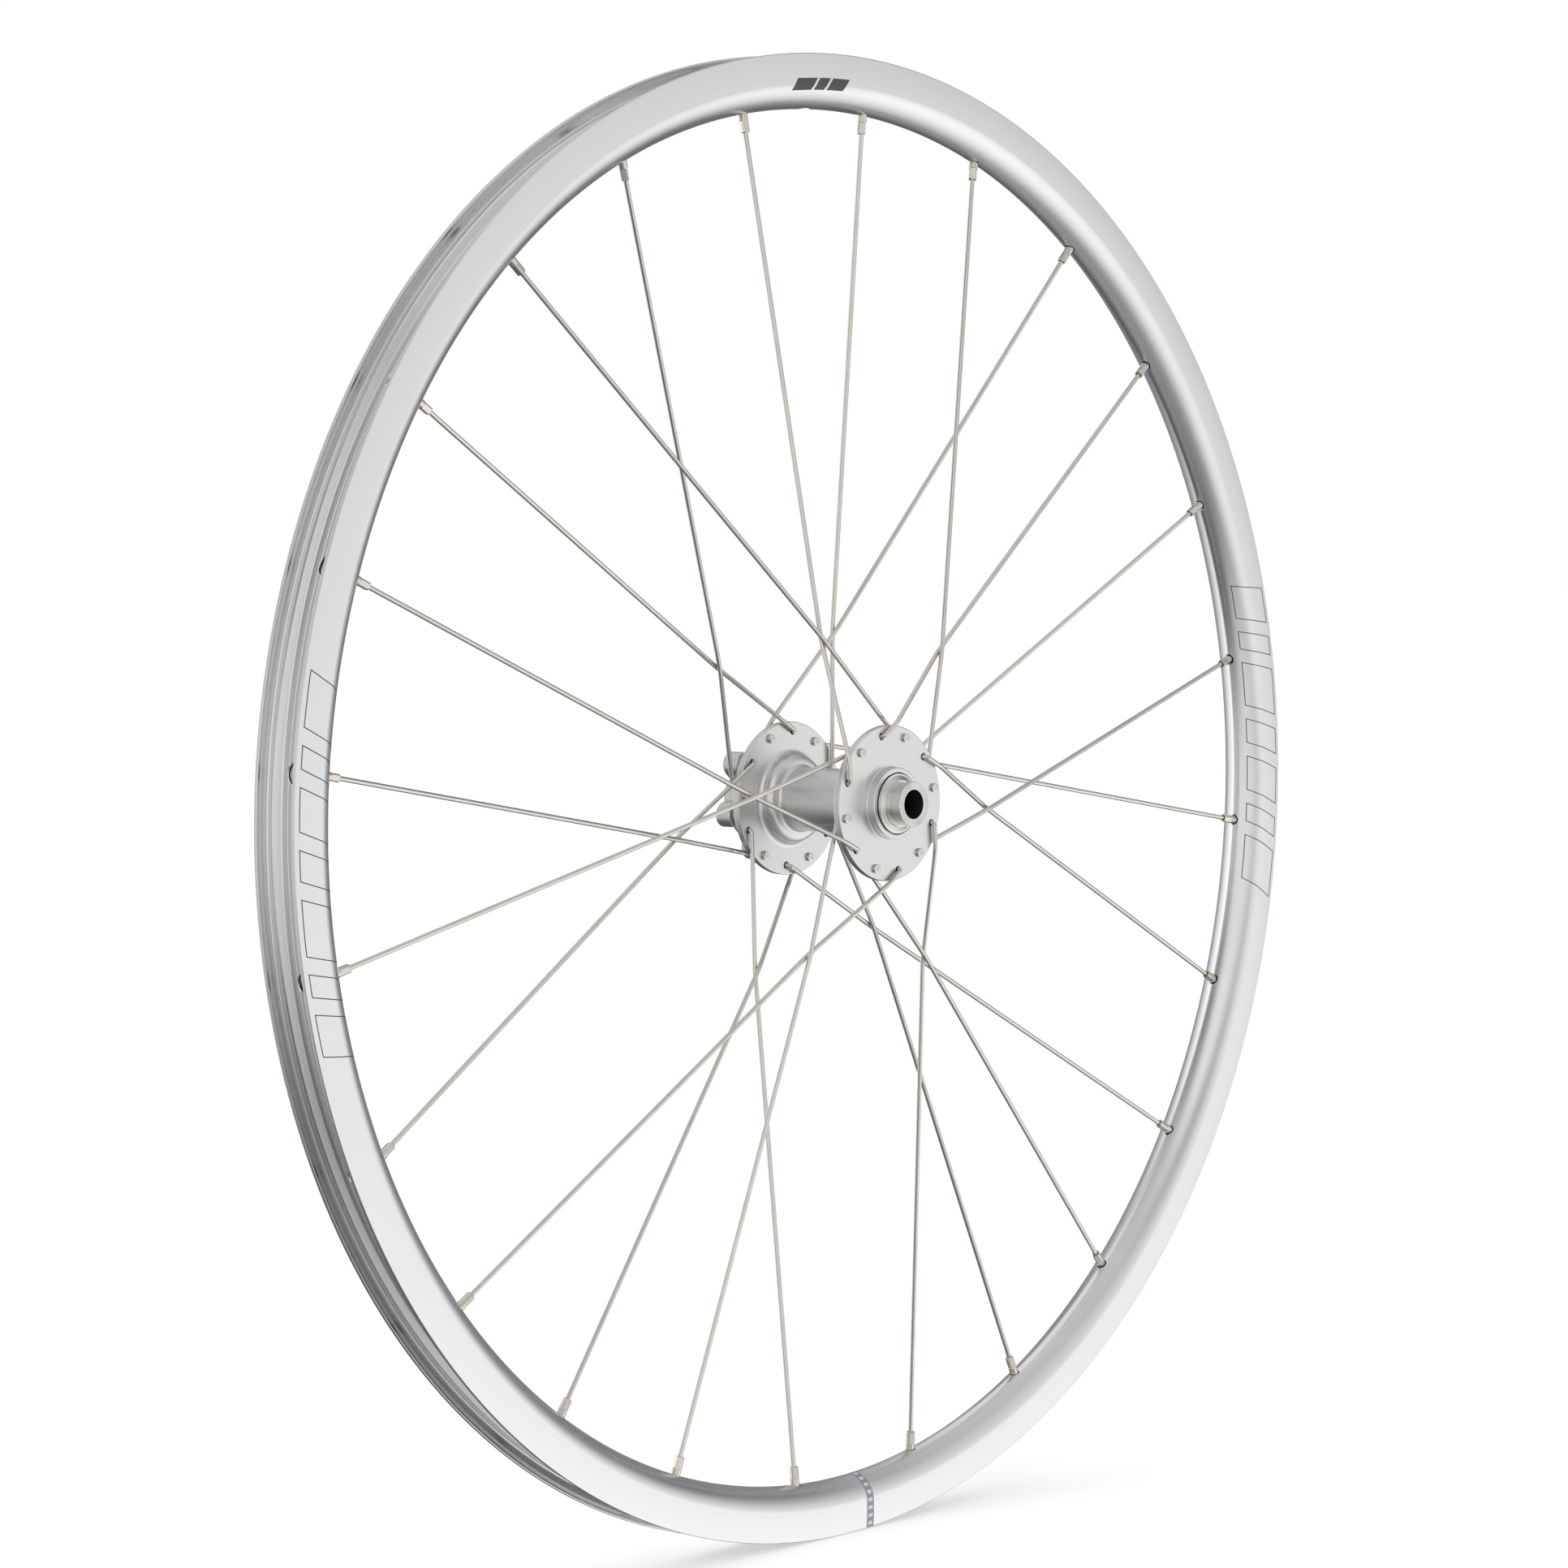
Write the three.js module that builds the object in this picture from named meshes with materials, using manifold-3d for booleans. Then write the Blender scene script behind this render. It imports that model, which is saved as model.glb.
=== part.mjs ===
// A 700C disc-brake bicycle front wheel: hollow asymmetric rim, 24 J-bend spokes laced
// two-cross with brass nipples, and a flanged thru-axle hub on two cartridge bearings.
// Millimetres, +Z up. The wheel turns about the Y axis through the origin at its centre.
// -Y is the wheel's right side and +Y is its left side, which carries the brake rotor.

import * as THREE from 'three';
import { mergeVertices } from 'three/addons/utils/BufferGeometryUtils.js';
import Module from 'manifold-3d';

const wasm = await Module();
wasm.setup();

const degrees = Math.PI / 180;

// ---- driving dimensions ------------------------------------------------------------

// fits and cutting allowances
const fitGap = 0.25; // between faces that seat on each other
const rollGap = 0.4; // between a ball and its race
const cutMargin = 1; // how far a cutter runs past what it cuts
const joinOverlap = 0.3; // how far two shapes that are joined reach into each other

// rim
const beadSeatDiameter = 622;
const lipHeight = 5.75; // above the bead seats
const lipWidth = 2;
const rimOuterWidth = 24.4;
const rimDepth = 23.05;
const rightWallHeight = 13.2; // straight part of the right sidewall, below its lip
const leftWallHeight = 9.2;
const rightNoseFullness = 1.7; // exponents of the curves that close the nose, 2 is an ellipse
const leftNoseFullness = 1.35;
const noseSteps = 3;
const rimWall = 1.4;
const spokeBedWall = 1.9;
const tyreBedWall = 1.1;
const tyreWellDepth = 3; // below the bead seats
const seatSlope = 0.3; // fall of each bead seat towards the well
const beadShelfWidth = 2.8;
const wellFlankWidth = 2.4; // from each shelf's edge to the flat of the well
const spokeBedOffset = -2.3; // the spoke bed lies off centre, away from the rotor
const valveHoleDiameter = 8.5;
const sleeveLength = 44; // joint sleeve inside the rim, opposite the valve
const sleeveWall = 3;
const rimSegments = 60;

// lacing
const spokeCount = 24;
const lacingPhase = -10.75; // degrees, where the first nipple stands at rest
const lacingSweep = 60; // degrees from a spoke's nipple back to its flange hole
const spokeDiameter = 2;
const spokeElbowRadius = 1.8;
const spokeElbowSteps = 3;
const spokeFaceGap = 0.5; // between a flange face and a spoke that lies on it
const spokeHoleClearance = 0.7;
const spokeHeadMargin = 0.6; // how far a head overlaps the edge of its hole
const spokeHeadThickness = 1.2;
const crossingGap = 0.3; // air between two spokes that pass at the last crossing
const spokeSides = 6;

// nipples
const nippleBoreClearance = 0.6;
const nippleShankWall = 0.65;
const nippleSquareWall = 0.35; // at the middle of each wrench flat
const nippleSquareLength = 5;
const nippleVisibleLength = 7.8; // from the spoke bed inwards
const nippleHeadMargin = 0.95; // head over shank
const nippleHeadLength = 3;
const nippleSeatLength = 0.9; // the cone below the head
const nippleHoleClearance = 0.35;
const nippleShelfMargin = 0.2; // flat floor inside the hollow, beside each head
const accessHoleMargin = 1.6; // beside a nipple head that is passed through
const nippleSides = 6;
const holeSides = 8;

// bearings: 17 x 26 x 5 around a 12 mm thru-axle
const thruAxleBore = 12.1;
const spigotWall = 1; // of the end caps, inside the axle
const axleWall = 0.95;
const bearingSection = 4.5; // radial
const bearingWidth = 5;
const ballDiameter = 3;
const ballCount = 12;
const raceLand = 1.4; // radial height of a race at its shoulders
const cageThickness = 0.9;
const cageWidth = 2.2;
const bearingSegments = 28;

// hub shell
const locknutWidth = 100;
const shellInset = 9; // from the end caps' faces to the ends of the shell
const bearingInset = 1; // from the ends of the shell to the bearings
const bearingStopHeight = 1;
const hubWall = 1.7;
const bossWall = 2.25;
const spokeCircleDiameter = 58;
const flangeMargin = 4.15; // from the spoke circle to the flange's edge
const flangeThickness = 3.2;
const rightFlangeInset = 4.1; // from the right end of the shell to the flange's outer face
const leftFlangeInset = 16.3; // from the rotor face to the left flange's outer face
const flangeChamfer = 0.5;
const shoulderHeight = 5.4; // swell beside the left flange, over the barrel
const shoulderLength = 6.2;
const shoulderFillet = 1.6; // between the barrel and the shoulder's front
const shoulderRound = 3; // the shoulder's outer edge
const rootFillet = 1.2; // where the barrel and the shoulder meet the flanges
const rotorFaceInset = 1.5; // from the left end of the shell, which is the rotor's pilot
const rotorPilotWall = 4;
const rotorNeckStep = 2.5;
const rotorLobeThickness = 8;
const rotorBoltCircle = 44;
const rotorLobeRadius = 5.4;
const rotorBoltHole = 4.4;
const rotorBolts = 6;
const rotorPhase = 12; // degrees
const lobeSteps = 8;
const hubSegments = 32;

// axle and end caps
const axleShoulder = 0.95; // radial step between the bearings
const capNeckWall = 2.85;
const capCollarStep = 0.6;
const capCollarLength = 3.5;
const capShieldThickness = 0.7;
const capShieldProud = 0.5; // how far the shield stands out of the hub shell
const capNeckFlare = 1; // cone between the shield and the neck
const capSpigotLength = 9;
const capChamfer = 0.35;
const capSegments = 28;

// ---- derived sizes -------------------------------------------------------------------

const seatRadius = beadSeatDiameter / 2;
const rimRadius = seatRadius + lipHeight;
const wellRadius = seatRadius - tyreWellDepth;
const bedRadius = rimRadius - rimDepth;

const spokeRadius = spokeDiameter / 2;
const spokeStandoff = spokeRadius + spokeFaceGap; // flange face to the middle of a spoke
const spokeHoleRadius = (spokeDiameter + spokeHoleClearance) / 2;
const spokeHeadRadius = spokeHoleRadius + spokeHeadMargin;
const nippleBoreRadius = (spokeDiameter + nippleBoreClearance) / 2;
const nippleShankRadius = nippleBoreRadius + nippleShankWall;
const nippleHeadRadius = nippleShankRadius + nippleHeadMargin;
const nippleSquare = 2 * (nippleBoreRadius + nippleSquareWall);

const boreRadius = thruAxleBore / 2;
const spigotRadius = boreRadius + spigotWall;
const axleBoreRadius = spigotRadius + fitGap;
const journalRadius = axleBoreRadius + axleWall;
const bearingBoreRadius = journalRadius + fitGap;
const bearingRadius = bearingBoreRadius + bearingSection;
const seatBoreRadius = bearingRadius + fitGap;
const pitchRadius = (bearingBoreRadius + bearingRadius) / 2;

const shellBoreRadius = bearingRadius - bearingStopHeight;
const barrelRadius = shellBoreRadius + hubWall;
const bossRadius = bearingRadius + bossWall;
const pilotRadius = bearingRadius + rotorPilotWall;
const neckRadius = pilotRadius + rotorNeckStep;
const shoulderRadius = barrelRadius + shoulderHeight;
const holeCircleRadius = spokeCircleDiameter / 2;
const flangeRadius = holeCircleRadius + flangeMargin;

const shellHalfLength = locknutWidth / 2 - shellInset;
const bearingFace = shellHalfLength - bearingInset; // outer side of each bearing
const bearingInnerFace = bearingFace - bearingWidth;
const rotorFaceY = shellHalfLength - rotorFaceInset;
const sideY = { right: rightFlangeInset - shellHalfLength, left: rotorFaceY - leftFlangeInset };
const outwards = { right: -1, left: 1 };

// ---- finishes ------------------------------------------------------------------------

const finishes = {
  rim: { color: 0xd9dbdd, roughness: 0.3, metalness: 1 },
  hub: { color: 0xcfd1d3, roughness: 0.34, metalness: 1 },
  cap: { color: 0xc6c3bb, roughness: 0.38, metalness: 1 },
  steel: { color: 0xb9b3a6, roughness: 0.28, metalness: 1 },
  nickel: { color: 0xc9c5bb, roughness: 0.25, metalness: 1 },
  race: { color: 0xb5b7ba, roughness: 0.2, metalness: 1 },
};

// ---- solids --------------------------------------------------------------------------

function solid(geometry) {
  const bare = geometry.clone();
  bare.deleteAttribute('normal');
  bare.deleteAttribute('uv');
  const welded = mergeVertices(bare, 1e-4);
  const vertProperties = new Float32Array(welded.attributes.position.array);
  const triVerts = new Uint32Array(welded.index.array);
  return new wasm.Manifold(new wasm.Mesh({ numProp: 3, vertProperties, triVerts }));
}

function geometryOf(body) {
  const mesh = body.getMesh();
  const stride = mesh.numProp;
  const count = mesh.vertProperties.length / stride;
  const points = new Float32Array(count * 3);
  for (let i = 0; i < count; i += 1) {
    points.set(mesh.vertProperties.subarray(i * stride, i * stride + 3), i * 3);
  }
  const geometry = new THREE.BufferGeometry();
  geometry.setAttribute('position', new THREE.BufferAttribute(points, 3));
  geometry.setIndex(new THREE.BufferAttribute(new Uint32Array(mesh.triVerts), 1));
  geometry.computeVertexNormals();
  return geometry;
}

// A ring turned about the Y axis. The outline is a closed loop of [radius, y] corners.
function turned(corners, segments) {
  const points = corners.map(([radius, y]) => new THREE.Vector2(radius, y));
  if (!THREE.ShapeUtils.isClockWise(points)) points.reverse();
  points.reverse();
  points.push(points[0].clone());
  return solid(new THREE.LatheGeometry(points, segments));
}

// A straight cutter or pin along any direction, from start to end.
function rod(start, end, radius, sides) {
  const along = end.clone().sub(start);
  const geometry = new THREE.CylinderGeometry(radius, radius, along.length(), sides);
  const turn = new THREE.Quaternion().setFromUnitVectors(yAxis, along.normalize());
  geometry.applyQuaternion(turn);
  const middle = start.clone().add(end).multiplyScalar(0.5);
  geometry.translate(middle.x, middle.y, middle.z);
  return solid(geometry);
}

const yAxis = new THREE.Vector3(0, 1, 0);

// The point at a radius and a clock angle, where 0 is the top and 90 is +X.
function around(radius, angle, y) {
  const turn = angle * degrees;
  return new THREE.Vector3(radius * Math.sin(turn), y, radius * Math.cos(turn));
}

const group = new THREE.Group();

function addPart(name, body, finish) {
  const mesh = new THREE.Mesh(geometryOf(body), new THREE.MeshStandardMaterial(finish));
  mesh.name = name;
  group.add(mesh);
}

// ---- lacing --------------------------------------------------------------------------

// Spokes go round in fours: right side outside, left side inside, right side inside,
// left side outside. "Outside" spokes lie on the outer face of their flange.
function lacingOf(index) {
  const angle = lacingPhase + (index * 360) / spokeCount;
  const side = index % 2 === 0 ? 'right' : 'left';
  const outside = index % 4 === 0 || index % 4 === 3;
  return { angle, side, outside, holeAngle: angle + (outside ? -lacingSweep : lacingSweep) };
}

// Height of a spoke's middle line where it leaves its elbow.
function shaftY(side, outside) {
  const outer = sideY[side] + outwards[side] * spokeStandoff;
  const inner = sideY[side] - outwards[side] * (flangeThickness + spokeStandoff);
  return outside ? outer : inner;
}

// How far along its run from flange hole to rim a spoke meets its last crossing.
function crossingShare() {
  const halfStep = 360 / spokeCount;
  const atFlange = holeCircleRadius * Math.sin((lacingSweep - halfStep) * degrees);
  const atRim = bedRadius * Math.sin(halfStep * degrees);
  return atFlange / (atFlange + atRim);
}

// The outside spoke is woven behind the inside one, so both bend a little there.
function crossingY(side, outside) {
  const share = crossingShare();
  const middle = (shaftY(side, true) + shaftY(side, false)) / 2;
  const between = middle + share * (spokeBedOffset - middle);
  const half = (spokeDiameter + crossingGap) / 2;
  return between + outwards[side] * (outside ? -half : half);
}

// Corner points of a spoke's middle line, from inside its head to its threaded end.
function spokeRoute(index) {
  const { angle, side, outside, holeAngle } = lacingOf(index);
  const toElbow = outside ? outwards[side] : -outwards[side];
  const hole = around(holeCircleRadius, holeAngle, 0);
  const bed = around(bedRadius, angle, spokeBedOffset);
  const run = new THREE.Vector3(bed.x - hole.x, 0, bed.z - hole.z);
  const length = run.length();
  run.normalize();
  const at = (distance, y) => hole.clone().addScaledVector(run, distance).setY(y);

  const shaft = shaftY(side, outside);
  const headFace = shaft - toElbow * (spokeStandoff + flangeThickness + fitGap);
  const arcStart = shaft - toElbow * spokeElbowRadius;
  const route = [at(0, headFace - toElbow * spokeHeadThickness * 0.5)];
  for (let i = 0; i <= spokeElbowSteps; i += 1) {
    const turn = (i / spokeElbowSteps) * 90 * degrees;
    const y = arcStart + toElbow * spokeElbowRadius * Math.sin(turn);
    route.push(at(spokeElbowRadius * (1 - Math.cos(turn)), y));
  }
  route.push(at(outside ? flangeExit(hole, run) : spokeElbowRadius * 2, shaft));
  const crossing = at(length * crossingShare(), crossingY(side, outside));
  route.push(crossing);
  const axis = bed.clone().sub(crossing).normalize();
  route.push(bed.clone().addScaledVector(axis, nippleHeadLength + spokeBedWall));
  return { route, hole, headFace, toElbow, bed, axis };
}

// Distance from a flange hole at which a spoke has cleared the flange's edge.
function flangeExit(hole, run) {
  const clear = flangeRadius + spokeRadius + crossingGap;
  const along = hole.dot(run);
  return Math.sqrt(along * along + clear * clear - hole.lengthSq()) - along;
}

// A path through given corner points whose steps fall on the corners.
class CornerPath extends THREE.Curve {
  constructor(corners) {
    super();
    this.corners = corners;
  }

  getPoint(share, target = new THREE.Vector3()) {
    const place = Math.min(share, 1) * (this.corners.length - 1);
    const index = Math.min(Math.floor(place + 1e-9), this.corners.length - 2);
    return target.copy(this.corners[index]).lerp(this.corners[index + 1], place - index);
  }

  getPointAt(share, target) {
    return this.getPoint(share, target);
  }

  getTangentAt(share, target = new THREE.Vector3()) {
    const last = this.corners.length - 1;
    const index = Math.round(share * last);
    const before = this.corners[Math.max(index - 1, 0)];
    const here = this.corners[index];
    const after = this.corners[Math.min(index + 1, last)];
    const arriving = here.clone().sub(before).normalize();
    const leaving = after.clone().sub(here).normalize();
    return target.copy(arriving).add(leaving).normalize();
  }
}

function roundSection(radius, sides) {
  const section = new THREE.Shape();
  for (let i = 0; i < sides; i += 1) {
    const turn = (i / sides) * 2 * Math.PI;
    const x = radius * Math.cos(turn);
    const y = radius * Math.sin(turn);
    if (i === 0) section.moveTo(x, y);
    else section.lineTo(x, y);
  }
  section.closePath();
  return section;
}

function spokeBody(index) {
  const { route, hole, headFace, toElbow } = spokeRoute(index);
  const settings = {
    steps: route.length - 1,
    extrudePath: new CornerPath(route),
    curveSegments: 1,
  };
  const wire = solid(new THREE.ExtrudeGeometry(roundSection(spokeRadius, spokeSides), settings));
  const domeStart = 0.6; // share of the head's thickness
  const domeTop = spokeHeadRadius * 0.6;
  const outline = [
    [0, 0],
    [spokeHeadRadius, 0],
    [spokeHeadRadius, domeStart * spokeHeadThickness],
    [domeTop, spokeHeadThickness],
    [0, spokeHeadThickness],
  ];
  const points = outline.map(([radius, height]) => new THREE.Vector2(radius, height));
  const button = new THREE.LatheGeometry(points, spokeSides);
  if (toElbow > 0) button.rotateX(Math.PI);
  button.translate(hole.x, headFace, hole.z);
  return wire.add(solid(button));
}

// A nipple stands on its spoke's line, with its head inside the rim.
function nippleBody(index) {
  const { bed, axis } = spokeRoute(index);
  const seat = spokeBedWall + fitGap;
  const outline = [
    [0, nippleSquareLength - nippleVisibleLength],
    [nippleShankRadius, nippleSquareLength - nippleVisibleLength],
    [nippleShankRadius, seat],
    [nippleHeadRadius, seat + nippleSeatLength],
    [nippleHeadRadius, seat + nippleHeadLength],
    [0, seat + nippleHeadLength],
  ];
  const points = outline.map(([radius, along]) => new THREE.Vector2(radius, along));
  const round = solid(new THREE.LatheGeometry(points, nippleSides));
  const keyLength = nippleSquareLength + joinOverlap;
  const key = new THREE.BoxGeometry(nippleSquare, keyLength, nippleSquare);
  key.translate(0, keyLength / 2 - nippleVisibleLength, 0);
  const low = new THREE.Vector3(0, -nippleVisibleLength - cutMargin, 0);
  const high = new THREE.Vector3(0, seat + nippleHeadLength + cutMargin, 0);
  const bore = rod(low, high, nippleBoreRadius, nippleSides);
  const geometry = geometryOf(round.add(solid(key)).subtract(bore));
  geometry.applyQuaternion(new THREE.Quaternion().setFromUnitVectors(yAxis, axis));
  geometry.translate(bed.x, bed.y, bed.z);
  return solid(geometry);
}

// ---- rim -----------------------------------------------------------------------------

// One side of the nose, from the end of its sidewall down to the spoke bed.
function noseSide(edge, wallHeight, fullness, steps) {
  const top = rimRadius - wallHeight;
  const depth = top - bedRadius;
  const reach = edge - spokeBedOffset;
  const corners = [];
  for (let i = 0; i <= steps; i += 1) {
    const turn = (i / steps) * 90 * degrees;
    const across = Math.abs(Math.cos(turn)) ** (2 / fullness);
    const down = Math.sin(turn) ** (2 / fullness);
    corners.push([top - depth * down, spokeBedOffset + reach * across]);
  }
  corners[steps][1] = spokeBedOffset;
  return corners;
}

function rimOutline() {
  const wide = rimOuterWidth / 2;
  const inner = wide - lipWidth;
  const shelfEdge = inner - beadShelfWidth;
  const right = noseSide(-wide, rightWallHeight, rightNoseFullness, noseSteps);
  const left = noseSide(wide, leftWallHeight, leftNoseFullness, noseSteps);
  const tyreBed = [
    [rimRadius, inner],
    [seatRadius, inner],
    [seatRadius - seatSlope, shelfEdge],
    [wellRadius, shelfEdge - wellFlankWidth],
  ];
  const mirrored = tyreBed.map(([radius, y]) => [radius, -y]).reverse();
  return [[rimRadius, -wide], ...right, ...left.reverse().slice(1), [rimRadius, wide],
    ...tyreBed, ...mirrored];
}

// The hollow between the spoke bed and the tyre bed, shrunk all round by a gap.
function rimHollow(gap) {
  const side = rimOuterWidth / 2 - rimWall - gap;
  const ceiling = wellRadius - tyreBedWall - gap;
  const eaves = seatRadius - rimWall - gap;
  const floor = bedRadius + spokeBedWall + gap;
  const shelf = nippleHeadRadius + nippleShelfMargin - gap;
  const well = rimOuterWidth / 2 - lipWidth - beadShelfWidth - wellFlankWidth;
  const rightFoot = rimRadius - rightWallHeight + gap;
  const leftFoot = Math.min(rimRadius - leftWallHeight + gap, eaves - gap);
  return turned([
    [floor, spokeBedOffset - shelf],
    [rightFoot, -side],
    [eaves, -side],
    [ceiling, -well],
    [ceiling, well],
    [eaves, side],
    [leftFoot, side],
    [floor, spokeBedOffset + shelf],
  ], rimSegments);
}

function rimBody() {
  let body = turned(rimOutline(), rimSegments).subtract(rimHollow(0));
  const nippleHole = nippleShankRadius + nippleHoleClearance;
  const accessHole = nippleHeadRadius + accessHoleMargin;
  for (let index = 0; index < spokeCount; index += 1) {
    const { bed, axis } = spokeRoute(index);
    const low = bed.clone().addScaledVector(axis, -spokeBedWall - cutMargin);
    const high = bed.clone().addScaledVector(axis, spokeBedWall * 2 + cutMargin);
    body = body.subtract(rod(low, high, nippleHole, holeSides));
    const { angle } = lacingOf(index);
    const floor = around(wellRadius - tyreBedWall - cutMargin, angle, spokeBedOffset);
    const above = around(seatRadius + cutMargin, angle, spokeBedOffset);
    body = body.subtract(rod(floor, above, accessHole, nippleSides));
  }
  const valveAngle = lacingPhase + 180 / spokeCount;
  const low = around(bedRadius - cutMargin, valveAngle, 0);
  const high = around(rimRadius, valveAngle, 0);
  return body.subtract(rod(low, high, valveHoleDiameter / 2, holeSides));
}

// The sleeve that joins the two ends of the rim extrusion, inside the hollow.
function sleeveBody() {
  const block = new THREE.BoxGeometry(sleeveLength, rimOuterWidth, rimDepth * 2);
  const angle = lacingPhase + 180 / spokeCount + 180;
  block.translate(0, 0, bedRadius);
  block.rotateY(angle * degrees);
  const outer = rimHollow(fitGap);
  const core = rimHollow(fitGap + sleeveWall);
  return outer.subtract(core).intersect(solid(block));
}

// ---- hub -----------------------------------------------------------------------------

// A quarter round between two [radius, y] corners, that bulges towards the given corner.
function roundCorner(from, corner, to, steps) {
  const points = [];
  for (let i = 0; i <= steps; i += 1) {
    const share = i / steps;
    const a = (1 - share) ** 2;
    const b = 2 * share * (1 - share);
    const c = share ** 2;
    points.push([
      a * from[0] + b * corner[0] + c * to[0],
      a * from[1] + b * corner[1] + c * to[1],
    ]);
  }
  return points;
}

function flangeEdge(from, to) {
  const step = Math.sign(to - from) * flangeChamfer;
  return [
    [flangeRadius - flangeChamfer, from],
    [flangeRadius, from + step],
    [flangeRadius, to - step],
    [flangeRadius - flangeChamfer, to],
  ];
}

function shellOutline() {
  const roundSteps = 2;
  const bearingStop = bearingInnerFace - fitGap;
  const rightInner = sideY.right + flangeThickness;
  const leftInner = sideY.left - flangeThickness;
  const shoulderEnd = leftInner - shoulderLength;
  return [
    [seatBoreRadius, -shellHalfLength],
    [bossRadius - flangeChamfer, -shellHalfLength],
    [bossRadius, -shellHalfLength + flangeChamfer],
    [bossRadius, sideY.right],
    ...flangeEdge(sideY.right, rightInner),
    [barrelRadius + rootFillet, rightInner],
    [barrelRadius, rightInner + rootFillet],
    ...roundCorner([barrelRadius, shoulderEnd - shoulderFillet], [barrelRadius, shoulderEnd],
      [barrelRadius + shoulderFillet, shoulderEnd], roundSteps),
    ...roundCorner([shoulderRadius - shoulderRound, shoulderEnd], [shoulderRadius, shoulderEnd],
      [shoulderRadius, shoulderEnd + shoulderRound], roundSteps),
    [shoulderRadius, leftInner - rootFillet],
    [shoulderRadius + rootFillet, leftInner],
    ...flangeEdge(leftInner, sideY.left),
    [neckRadius, sideY.left],
    [neckRadius, rotorFaceY],
    [pilotRadius, rotorFaceY],
    [pilotRadius, shellHalfLength],
    [seatBoreRadius, shellHalfLength],
    [seatBoreRadius, bearingStop],
    [shellBoreRadius, bearingStop],
    [shellBoreRadius, -bearingStop],
    [seatBoreRadius, -bearingStop],
  ];
}

function shellBody() {
  let body = turned(shellOutline(), hubSegments);
  for (let index = 0; index < rotorBolts; index += 1) {
    body = body.add(lobeBody(index));
  }
  for (let index = 0; index < rotorBolts; index += 1) {
    const angle = rotorPhase + (index * 360) / rotorBolts;
    const low = around(rotorBoltCircle / 2, angle, rotorFaceY - rotorLobeThickness - cutMargin);
    const high = around(rotorBoltCircle / 2, angle, rotorFaceY + cutMargin);
    body = body.subtract(rod(low, high, rotorBoltHole / 2, holeSides));
  }
  for (let index = 0; index < spokeCount; index += 1) {
    const { side, holeAngle } = lacingOf(index);
    const outer = sideY[side] + outwards[side] * cutMargin;
    const inner = sideY[side] - outwards[side] * (flangeThickness + cutMargin);
    const start = around(holeCircleRadius, holeAngle, Math.min(outer, inner));
    const end = around(holeCircleRadius, holeAngle, Math.max(outer, inner));
    body = body.subtract(rod(start, end, spokeHoleRadius, holeSides));
  }
  return body;
}

// One of the six ears that the brake rotor bolts to.
function lobeBody(index) {
  const angle = rotorPhase + (index * 360) / rotorBolts;
  const reach = rotorBoltCircle / 2;
  const inner = (pilotRadius + neckRadius) / 2;
  const outline = new THREE.Shape();
  outline.moveTo(-rotorLobeRadius, inner);
  outline.lineTo(rotorLobeRadius, inner);
  outline.lineTo(rotorLobeRadius, reach);
  outline.absarc(0, reach, rotorLobeRadius, 0, Math.PI, false);
  outline.closePath();
  const settings = { depth: rotorLobeThickness, bevelEnabled: false, curveSegments: lobeSteps };
  const lobe = new THREE.ExtrudeGeometry(outline, settings);
  lobe.rotateX(Math.PI / 2);
  lobe.translate(0, rotorFaceY, 0);
  lobe.rotateY(angle * degrees);
  return solid(lobe);
}

// ---- bearings ------------------------------------------------------------------------

// Groove corners of a race, seen from its land: away is +1 for the outer race.
function grooveCorners(away, half) {
  const radius = ballDiameter / 2 + rollGap;
  const reach = Math.acos((bearingSection / 2 - raceLand) / radius);
  const corners = [];
  for (let i = 0; i <= 2; i += 1) {
    const turn = reach * (i - 1);
    corners.push([pitchRadius + away * radius * Math.cos(turn), half + radius * Math.sin(turn)]);
  }
  return corners;
}

function outerRaceBody(face, sign) {
  const land = bearingRadius - raceLand;
  const middle = face - bearingWidth / 2;
  const groove = grooveCorners(1, middle);
  const corners = [[bearingRadius, face - bearingWidth], [bearingRadius, face], [land, face],
    ...groove.reverse(), [land, face - bearingWidth]];
  return turned(corners.map(([radius, y]) => [radius, sign * y]), bearingSegments);
}

function innerRaceBody(face, sign) {
  const land = bearingBoreRadius + raceLand;
  const middle = face - bearingWidth / 2;
  const groove = grooveCorners(-1, middle);
  const corners = [[bearingBoreRadius, face], [bearingBoreRadius, face - bearingWidth],
    [land, face - bearingWidth], ...groove, [land, face]];
  return turned(corners.map(([radius, y]) => [radius, sign * y]), bearingSegments);
}

// The balls and the cage that spaces them, joined as one piece.
function ballCageBody(face, sign) {
  const middle = sign * (face - bearingWidth / 2);
  const low = middle - cageWidth / 2;
  const high = middle + cageWidth / 2;
  const inner = pitchRadius - cageThickness / 2;
  const outer = pitchRadius + cageThickness / 2;
  let body = turned([[inner, low], [outer, low], [outer, high], [inner, high]], ballCount * 2);
  for (let index = 0; index < ballCount; index += 1) {
    const ball = new THREE.SphereGeometry(ballDiameter / 2, 6, 4);
    const place = around(pitchRadius, (index * 360) / ballCount, middle);
    ball.translate(place.x, place.y, place.z);
    body = body.add(solid(ball));
  }
  return body;
}

// ---- axle and end caps ---------------------------------------------------------------

function axleBody() {
  const shoulder = journalRadius + axleShoulder;
  const stop = bearingInnerFace - fitGap;
  return turned([
    [axleBoreRadius, -bearingFace],
    [journalRadius, -bearingFace],
    [journalRadius, -stop],
    [shoulder, -stop],
    [shoulder, stop],
    [journalRadius, stop],
    [journalRadius, bearingFace],
    [axleBoreRadius, bearingFace],
  ], capSegments);
}

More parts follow.
